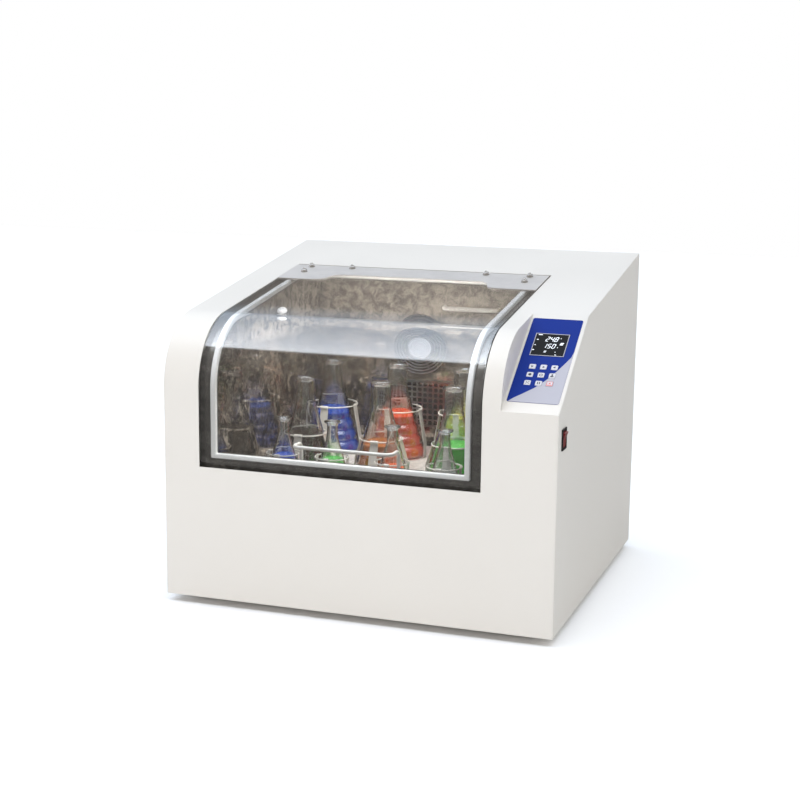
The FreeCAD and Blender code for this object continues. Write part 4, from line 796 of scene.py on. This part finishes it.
digitBars = {"0": "abcdef", "1": "bc", "2": "abged", "4": "fgbc", "5": "afgcd", "8": "abcdefg"}


def digit(bm, mark, across, along, wide, tall, lift):
    slant = ink["slant"]
    bars = {"a": (0, 0.5, True), "g": (0, 0, True), "d": (0, -0.5, True), "f": (-0.5, 0.25, False),
            "b": (0.5, 0.25, False), "e": (-0.5, -0.25, False), "c": (0.5, -0.25, False)}
    for name in digitBars[mark]:
        dx, dy, flat = bars[name]
        x = across + dx * wide + dy * tall * slant
        size = (wide * 0.82, ink["bar"]) if flat else (ink["bar"], tall * 0.42)
        plate(bm, x, along + dy * tall, *size, lift, slant=slant)


# the small marks beside the digits: across, along, wide, tall
sideMarks = [(557.4, 163.4, 6.0, 1.3), (555.0, 152.8, 2.6, 1.4), (553.6, 141.0, 2.2, 1.2),
             (552.8, 130.4, 2.8, 1.4), (593.4, 146.9, 5.0, 1.8), (592.6, 143.9, 5.0, 1.8),
             (589.6, 157.0, 1.2, 1.2), (588.1, 137.4, 1.2, 1.2), (571.6, 128.6, 3.4, 1.0),
             (571.0, 126.4, 3.4, 1.0), (586.6, 127.4, 1.4, 1.0), (588.0, 121.5, 2.6, 1.0)]


def displayMarks():
    bm = bmesh.new()
    lift = screen["rise"] + ink["lift"]
    for mark, across in (("2", 570.2), ("4", 576.8), ("8", 583.4)):
        digit(bm, mark, across, 154.6, 4.0, 9.0, lift)
    plate(bm, 579.8, 150.1, 0.9, 0.9, lift, sides=10)
    for mark, across in (("1", 568.8), ("5", 575.4), ("0", 582.0)):
        digit(bm, mark, across, 139.8, 4.0, 9.0, lift)
    for across, along, wide, tall in sideMarks:
        plate(bm, across, along, wide, tall, lift, slant=0.2)
    finishPiece("displayMarks", bm, [litWhite], "cabinet", angle=30)


def screenBorder():
    # a pale line round the screen's window, and the blue film over the screen's upper edge
    bm = bmesh.new()
    wide = 1.1
    left, right, start, top, end = (screen[name] for name in ("left", "right", "start", "top", "end"))
    middle = (left + right) / 2
    across = right - left - 0.8
    lift = screen["rise"] + 0.01
    for along in (start + 0.9, top - 0.9):
        plate(bm, middle, along, across, wide, lift, 0.1)
    plate(bm, middle, (top + end) / 2 + 0.2, across + 1.4, end - top + 1.0, lift, finish=1)
    for place in (left + 0.9, right - 0.9):
        plate(bm, place, (start + top) / 2, wide, top - start - 0.8, lift, 0.1)
    finishPiece("screenBorder", bm, [overlayPale, overlayBlue], "cabinet", angle=30)


# each key's printed sign, as small shapes: across, along, wide, tall, sides, turn
keySigns = {
    (1, 1): [(step, step * way, 1.2, 1.2, 8, 0) for step in (-2.2, -1.1, 0, 1.1, 2.2) for way in (-1, 1)],
    (1, 2): [(-1.4, 0, 1.3, 5.0, 4, 0), (1.4, 0, 1.3, 5.0, 4, 0)],
    (1, 3): [(0, 0.8, 4.6, 4.0, 3, math.pi / 2), (0, -2.6, 6.2, 1.2, 4, 0)],
    (2, 1): [(0, 0, 4.8, 4.8, 20, 0)],
    (2, 2): [(2.2 * math.cos(step * math.tau / 12), 2.2 * math.sin(step * math.tau / 12), 1.2, 1.2, 8, 0)
             for step in range(12)],
    (2, 3): [(0, 1.4, 2.6, 3.4, 16, 0), (0, -1.9, 6.0, 2.8, 6, 0)],
    (3, 1): [(-0.6, 0, 5.0, 5.0, 3, math.pi)],
    (3, 2): [(0, -0.3, 5.0, 5.0, 3, -math.pi / 2)],
    (3, 3): [(0, 0.4, 5.0, 5.0, 3, math.pi / 2)],
}


def keySign(row, column):
    bm = bmesh.new()
    across = keys["firstAcross"] + (column - 1) * keys["pitchAcross"]
    along = keys["firstAlong"] + (row - 1) * keys["pitchAlong"]
    lift = keys["rise"] + 0.01
    red = (row, column) == (1, 3)
    for dx, dy, wide, tall, sides, turn in keySigns[(row, column)]:
        plate(bm, across + dx, along + dy, wide, tall, lift, 0.06, sides=sides, turn=turn)
    if red:
        edge = keys["size"] - 1.0
        for step in (edge / 2, -edge / 2):
            plate(bm, across, along + step, edge, 0.7, lift, 0.05)
        for step in (edge / 2, -edge / 2):
            plate(bm, across + step, along, 0.7, edge, lift, 0.05)
    name = "key_%d_%d" % (row, column)
    finishPiece("keySign%d%d" % (row, column), bm, [inkRed if red else inkDark], name, angle=30)


paleCorner()
displayMarks()
screenBorder()
for row in (1, 2, 3):
    for column in (1, 2, 3):
        keySign(row, column)


# lid
print("lid")


def lidSheet():
    bm = bmesh.new()
    curvedSheet(bm, 0, [lid["left"], lid["right"]], [lid["bottom"]], [lid["back"]], steps=40)
    low = [vert for vert in bm.verts if abs(vert.co.z - at(0, 0, lid["bottom"]).z) < 1e-6]
    roundVerts(bm, low, 7.0, 6)
    thicken(bm, lid["thickness"] / 1000)
    finishPiece("lidSheet", bm, [lidClear], "lid", ["lid_shell"], bevel=0.0005, segments=1, angle=40)


lidSheet()
bolts = dict(places=[(-193, 343, 0), (193, 343, 0), (-193, 377, 1), (193, 377, 1), (-118.5, 377, 1),
                     (118.5, 377, 1)], nut=4.9, nutHeight=4.5, washer=5.6, stud=2.0, plate=1.6, leaf=1.35)


def lidBolts():
    bm = bmesh.new()
    above, washer, nut, stud = (bolts[name] for name in ("plate", "washer", "nut", "stud"))
    nutTop = above + bolts["nutHeight"]
    for reach, y, deep in bolts["places"]:
        below = lid["thickness"] + bolts["leaf"] * deep + 0.1
        bolt = bmesh.new()
        for low, high, radius, top, segments in (
                (above, above + 0.6, washer, washer, 24), (above + 0.6, nutTop - 0.6, nut, nut, 6),
                (nutTop - 0.6, nutTop, nut, nut - 0.9, 6), (-below, nutTop + 1.6, stud, stud, 12),
                (nutTop + 1.6, nutTop + 2.2, stud, 1.4, 12), (-below - 2.0, -below, 3.5, 3.5, 6)):
            addMesh(bolt, cone((0, 0, (high + low) / 2000), radius, top, high - low, segments))
        turnBy(bolt, slopeAngle, "X")
        shift(bolt, at(lid["centre"] + reach, y, topHeight(y)))
        addMesh(bm, bolt)
    finishPiece("lidBolts", bm, [nutSteel], "lid", ["lid_fasteners"], angle=30)


lidBolts()


# tray
print("tray")
tray = dict(x=273.0, y=228.0, top=180.0, handleFront=-178.0, handleReach=36.0, handleHalf=80.0,
            handleHeight=60.0, handleRadius=2.9, handleBend=11.0)


def trayHandle():
    rise = tray["handleHeight"] / 1000
    reach = tray["handleReach"] / 1000
    across = 2 * tray["handleHalf"] / 1000
    start = at(tray["x"] - tray["handleHalf"], tray["y"] + tray["handleFront"] + tray["handleReach"],
               tray["top"])
    runs = [(0, 0, rise), (0, -reach, 0), (across, 0, 0), (0, reach, 0), (0, 0, -rise)]
    bm = bar(start, [Vector(run) for run in runs], tray["handleRadius"] / 1000, tray["handleBend"] / 1000)
    for step in (0, across):
        addMesh(bm, cone(start + Vector((step, 0, 0.0015)), 7.4, 6.6, 3.0, 24))
    finishPiece("trayHandle", bm, [wireSteel], "platform", ["tray_handle"], angle=50)


trayHandle()
flaskKinds = {
    "small": dict(body=25.5, height=88.0, neck=8.5, rim=13.0, ringHeight=32.0, ringRadius=24.5, strip=8.0,
                  ribs=[]),
    "medium": dict(body=41.0, height=140.0, neck=15.0, rim=18.0, ringHeight=50.0, ringRadius=32.0, strip=13.0,
                   ribs=[]),
    "large": dict(body=47.0, height=154.0, neck=16.5, rim=20.0, ringHeight=80.0, ringRadius=38.5, strip=13.0,
                  ribs=[20.0, 38.0, 56.0]),
}
# each liquid's colour, and how clear it is
water = {
    "blue": (20, 84, 196, 0.5), "green": (86, 190, 84, 0.5), "amber": (228, 104, 44, 0.5),
    "grey": (225, 230, 228, 0.92), "black": (34, 24, 20, 0.3), "brown": (176, 102, 44, 0.5),
    "orange": (224, 84, 44, 0.5), "lime": (238, 232, 92, 0.5),
}
waterFinish = []
for name, (*color, clearness) in water.items():
    waterFinish.append(glassMaterial("water" + name.capitalize(), srgb(*color), ior=1.33))
    setShader(waterFinish[-1], {"Transmission Weight": clearness})
waterOrder = list(water)
flaskPlaces = [
    ("small", -127, -103, "blue", 26), ("small", -44, -103, "green", 26), ("small", 56, -103, "amber", 22),
    ("small", 141, -103, "grey", 20), ("medium", -122, -23, "black", 46), ("medium", 9, -23, "brown", 40),
    ("medium", 130, -23, "green", 46), ("large", -115, 80, "blue", 66), ("large", 0, 80, "orange", 68),
    ("large", 115, 80, "lime", 64),
]
flask = dict(wall=1.6, corner=0.2, shoulder=0.72, neckEnd=5.0, rimLow=2.4, grooveHalf=5.0, grooveDeep=3.2,
             grooveRound=2.4, grooveRoom=4.0)
clamp = dict(sheet=1.5, clearance=1.5, wire=1.1, strip=1.2, bend=2.2, lip=2.5, sleeve=2.4, wireGap=0.9)


def flaskWall(kind, height, inset):
    # the radius of the straight cone between the body's corner and the neck
    size = flaskKinds[kind]
    low, high = size["body"] * flask["corner"], size["height"] * flask["shoulder"]
    return size["body"] + (size["neck"] - size["body"]) * (height - low) / (high - low) - inset


def flaskOutline(kind, inset, top=None):
    # from the middle of the bottom to the neck, or to the liquid's surface, with the pressed-in grooves
    size = flaskKinds[kind]
    body = size["body"]
    half = flask["grooveHalf"]
    end = (size["neck"] - inset, size["height"] * flask["shoulder"])
    if top is not None:
        end = (flaskWall(kind, top, inset), top)
    outline = [(0, inset), (body - inset, inset), (body - inset, body * flask["corner"])]
    for height in size["ribs"]:
        if height + flask["grooveRoom"] < end[1]:
            outline += [(flaskWall(kind, height + step, inset) - deep, height + step)
                        for step, deep in ((-half, 0), (0, flask["grooveDeep"]), (half, 0))]
    return outline + [end]


def flaskSet():
    glass = bmesh.new()
    liquid = bmesh.new()
    for kind, dx, dy, color, level in flaskPlaces:
        size = flaskKinds[kind]
        middle = at(tray["x"] + dx, tray["y"] + dy, tray["top"] + clamp["sheet"] + 0.2)
        wall, high = flask["wall"], size["height"]
        outer = flaskOutline(kind, 0)
        neck = len(outer)
        rounds = [(1, 3.0), (2, 3.0)] + [(index, flask["grooveRound"]) for index in range(3, neck - 1)]
        rounds += [(neck - 1, 10.0), (neck, 2.0), (neck + 1, 1.0), (neck + 2, 0.8)]
        outer += [(size["neck"], high - flask["neckEnd"]), (size["rim"], high - flask["rimLow"]),
                  (size["rim"], high)]
        inner = flaskOutline(kind, wall) + [(size["neck"] - wall, high)]
        one = bmesh.new()
        revolve(one, outer + inner[::-1], middle, rounds=rounds, steps=44)
        addMesh(glass, one)
        filled = flaskOutline(kind, wall + 0.3, level)
        rounds = [(index, 2.4) for index in range(1, len(filled) - 1)]
        drop = bmesh.new()
        revolve(drop, filled + [(0, level)], middle, rounds=rounds, steps=44)
        addMesh(liquid, drop, waterOrder.index(color))
    finishPiece("flaskGlass", glass, [flaskClear], "platform", ["flasks"], angle=60)
    finishPiece("flaskWater", liquid, waterFinish, "platform", ["flask_liquids"], angle=50)


def clampSet(name, kinds, replaced):
    bm = bmesh.new()
    sheet = clamp["sheet"]
    for place in flaskPlaces:
        kind, dx, dy = place[:3]
        if kind not in kinds:
            continue
        size = flaskKinds[kind]
        wide = size["strip"]
        inside = size["body"] + clamp["clearance"]
        top = size["ringHeight"]
        around = size["ringRadius"]
        arm = bmesh.new()
        for quarter in range(4):
            strip = bmesh.new()
            outline = [(0, 0), (inside + sheet, 0), (inside + sheet, top * 0.3), (around + sheet, top - 1.2),
                       (around + sheet, top + clamp["lip"])]
            row = edgeRow(strip, [Vector((x / 1000, -wide / 2000, z / 1000)) for x, z in outline])
            roundVerts(strip, [edge.verts[1] for edge in row[:-1]], clamp["bend"], 3)
            pull(strip, list(strip.edges), Vector((0, wide / 1000, 0)))
            bmesh.ops.recalc_face_normals(strip, faces=strip.faces)
            up = min(strip.faces, key=lambda face: face.calc_center_median().z)
            if up.normal.z > 0:
                bmesh.ops.reverse_faces(strip, faces=strip.faces)
            bmesh.ops.solidify(strip, geom=strip.faces, thickness=clamp["strip"] / 1000)
            turnBy(strip, math.pi / 2 * quarter, "Z")
            addMesh(arm, strip)
        loopRadius = (around + sheet + clamp["wireGap"]) / 1000
        addMesh(arm, ring(Vector((0, 0, top / 1000)), loopRadius, clamp["wire"] / 1000), 1)
        sleeve = cone((0, 0, 0), clamp["sleeve"], clamp["sleeve"], wide, 16)
        turnBy(sleeve, math.pi / 2, "Y")
        shift(sleeve, (0, -loopRadius, top / 1000))
        addMesh(arm, sleeve, 1)
        shift(arm, at(tray["x"] + dx, tray["y"] + dy, tray["top"]))
        addMesh(bm, arm)
    finishPiece(name, bm, [stripSteel, wireSteel], "platform", [replaced], angle=40)


flaskSet()
clampSet("smallClamps", ["small"], "small_flask_clamps")
clampSet("largeClamps", ["medium", "large"], "large_flask_clamps")


# room, light and camera
print("studio")
studio = dict(floor=6.0)
floorMesh = bpy.data.meshes.new("studioFloor")
floorShape = bmesh.new()
bmesh.ops.create_grid(floorShape, x_segments=1, y_segments=1, size=studio["floor"])
floorShape.to_mesh(floorMesh)
floorShape.free()
studioFloor = bpy.data.objects.new("studioFloor", floorMesh)
bpy.context.scene.collection.objects.link(studioFloor)


def floorMaterial():
    # a pale floor that the camera sees white, and that reflected and bent rays see as a fixed darker glow, a
    # painted reflection
    mat = material("paleFloor", (0.94, 0.94, 0.94))
    setShader(mat, {"Roughness": 0.7})
    tree = mat.node_tree
    path = addNode(tree, "LightPath").outputs
    paintedReflection = addNode(tree, "Emission", dict(Color=(0.15, 0.142, 0.135, 1)))
    bent = mathOf(tree, "MAXIMUM", path["Is Glossy Ray"], path["Is Transmission Ray"])
    chooseShader(tree, bent, tree.nodes["Principled BSDF"], paintedReflection, "Material Output")
    return mat


floorMesh.materials.append(floorMaterial())


# the room as an angle about the left-right line: 0 is the back's horizon, 0.5 overhead, 1 the front's horizon
skyStops = [(0.0, (0.17, 0.155, 0.14)), (0.1432, (0.20, 0.185, 0.17)), (0.1442, (0.46, 0.53, 0.62)),
            (0.35, (1.12, 1.26, 1.46)), (0.55, (2.45, 2.64, 2.95)), (0.645, (3.3, 3.5, 3.8)),
            (0.66, (0.30, 0.28, 0.26)), (0.85, (0.22, 0.20, 0.19)), (1.0, (0.16, 0.15, 0.14))]
skyStrength = 4.0
rightTint = (0.95, 0.89, 0.80, 1)


def makeWorld():
    world = bpy.data.worlds.new("studioWorld")
    bpy.context.scene.world = world
    world.use_nodes = True
    tree = world.node_tree
    outward = addNode(tree, "TexCoord").outputs["Generated"]
    parts = addNode(tree, "SeparateXYZ", dict(Vector=outward)).outputs
    angle = mathOf(tree, "ARCTAN2", parts["Z"], parts["Y"])
    ramp = addNode(tree, "ValToRGB", dict(Fac=mathOf(tree, "DIVIDE", angle, math.pi)))
    while len(ramp.color_ramp.elements) < len(skyStops):
        ramp.color_ramp.elements.new(0.5)
    for element, (position, color) in zip(ramp.color_ramp.elements, skyStops):
        element.position = position
        element.color = (*(value / skyStrength for value in color), 1)
    rightward = rangeOf(tree, parts["X"], 0.05, 0.6)
    back = tree.nodes["Background"]
    feed(tree, back.inputs["Color"], mixOf(tree, "MULTIPLY", rightward, ramp.outputs["Color"], rightTint))
    feed(tree, back.inputs["Strength"], skyStrength)
    direct = addNode(tree, "LightPath").outputs["Is Camera Ray"]
    white = addNode(tree, "Background", dict(Color=(1, 1, 1, 1)))
    chooseShader(tree, direct, back, white, "World Output")


makeWorld()


def softLight(name, place, target, wide, tall, power, color=(1, 1, 1)):
    lamp = bpy.data.lights.new(name, "AREA")
    lamp.shape = "RECTANGLE"
    lamp.size = wide
    lamp.size_y = tall
    lamp.energy = power
    lamp.color = color
    holder = bpy.data.objects.new(name, lamp)
    holder.location = place
    holder.rotation_euler = (Vector(target) - Vector(place)).to_track_quat("-Z", "Y").to_euler()
    holder.visible_glossy = False
    holder.visible_transmission = False
    bpy.context.scene.collection.objects.link(holder)
    return holder


softLight("frontLight", (-0.5, -3.0, 0.9), (0, -0.2, 0.2), 2.0, 1.2, 25.5, (1.0, 0.965, 0.925))
softLight("sideLight", (3.0, -0.6, 0.8), (0.3, 0, 0.25), 1.2, 1.0, 1.6, (1.0, 0.92, 0.8))
for name, place, target, tall, power in (("trayFill", at(283, 190, 425), at(283, 235, 180), 0.12, 1.6),
                                         ("wallFill", at(283, 300, 432), at(283, 430, 398), 0.02, 0.75)):
    fillLight = softLight(name, place, target, 0.3, tall, power, (1.0, 0.96, 0.9))
    fillLight.visible_camera = False

camera = dict(x=1110.0, y=-2101.0, z=756.0, azimuth=19.08, elevation=10.71, roll=0.60, focal=1558.0,
              pixels=800, sensor=36.0)


def setCamera():
    azimuth, elevation, roll = (math.radians(camera[name]) for name in ("azimuth", "elevation", "roll"))
    backward = Vector((math.sin(azimuth) * math.cos(elevation), -math.cos(azimuth) * math.cos(elevation),
                       math.sin(elevation)))
    across = (-backward).cross(Vector((0, 0, 1))).normalized()
    upward = across.cross(-backward)
    right = across * math.cos(roll) + upward * math.sin(roll)
    top = -across * math.sin(roll) + upward * math.cos(roll)
    turn = Matrix((right, top, backward)).transposed().to_4x4()
    data = bpy.data.cameras.new("photoCamera")
    data.sensor_fit = "HORIZONTAL"
    data.sensor_width = camera["sensor"]
    data.lens = camera["focal"] / camera["pixels"] * camera["sensor"]
    data.clip_end = 60
    holder = bpy.data.objects.new("photoCamera", data)
    holder.matrix_world = Matrix.Translation(at(camera["x"], camera["y"], camera["z"])) @ turn
    bpy.context.scene.collection.objects.link(holder)
    bpy.context.scene.camera = holder


setCamera()
bpy.context.scene.view_settings.view_transform = "Standard"
bpy.context.scene.view_settings.look = "None"
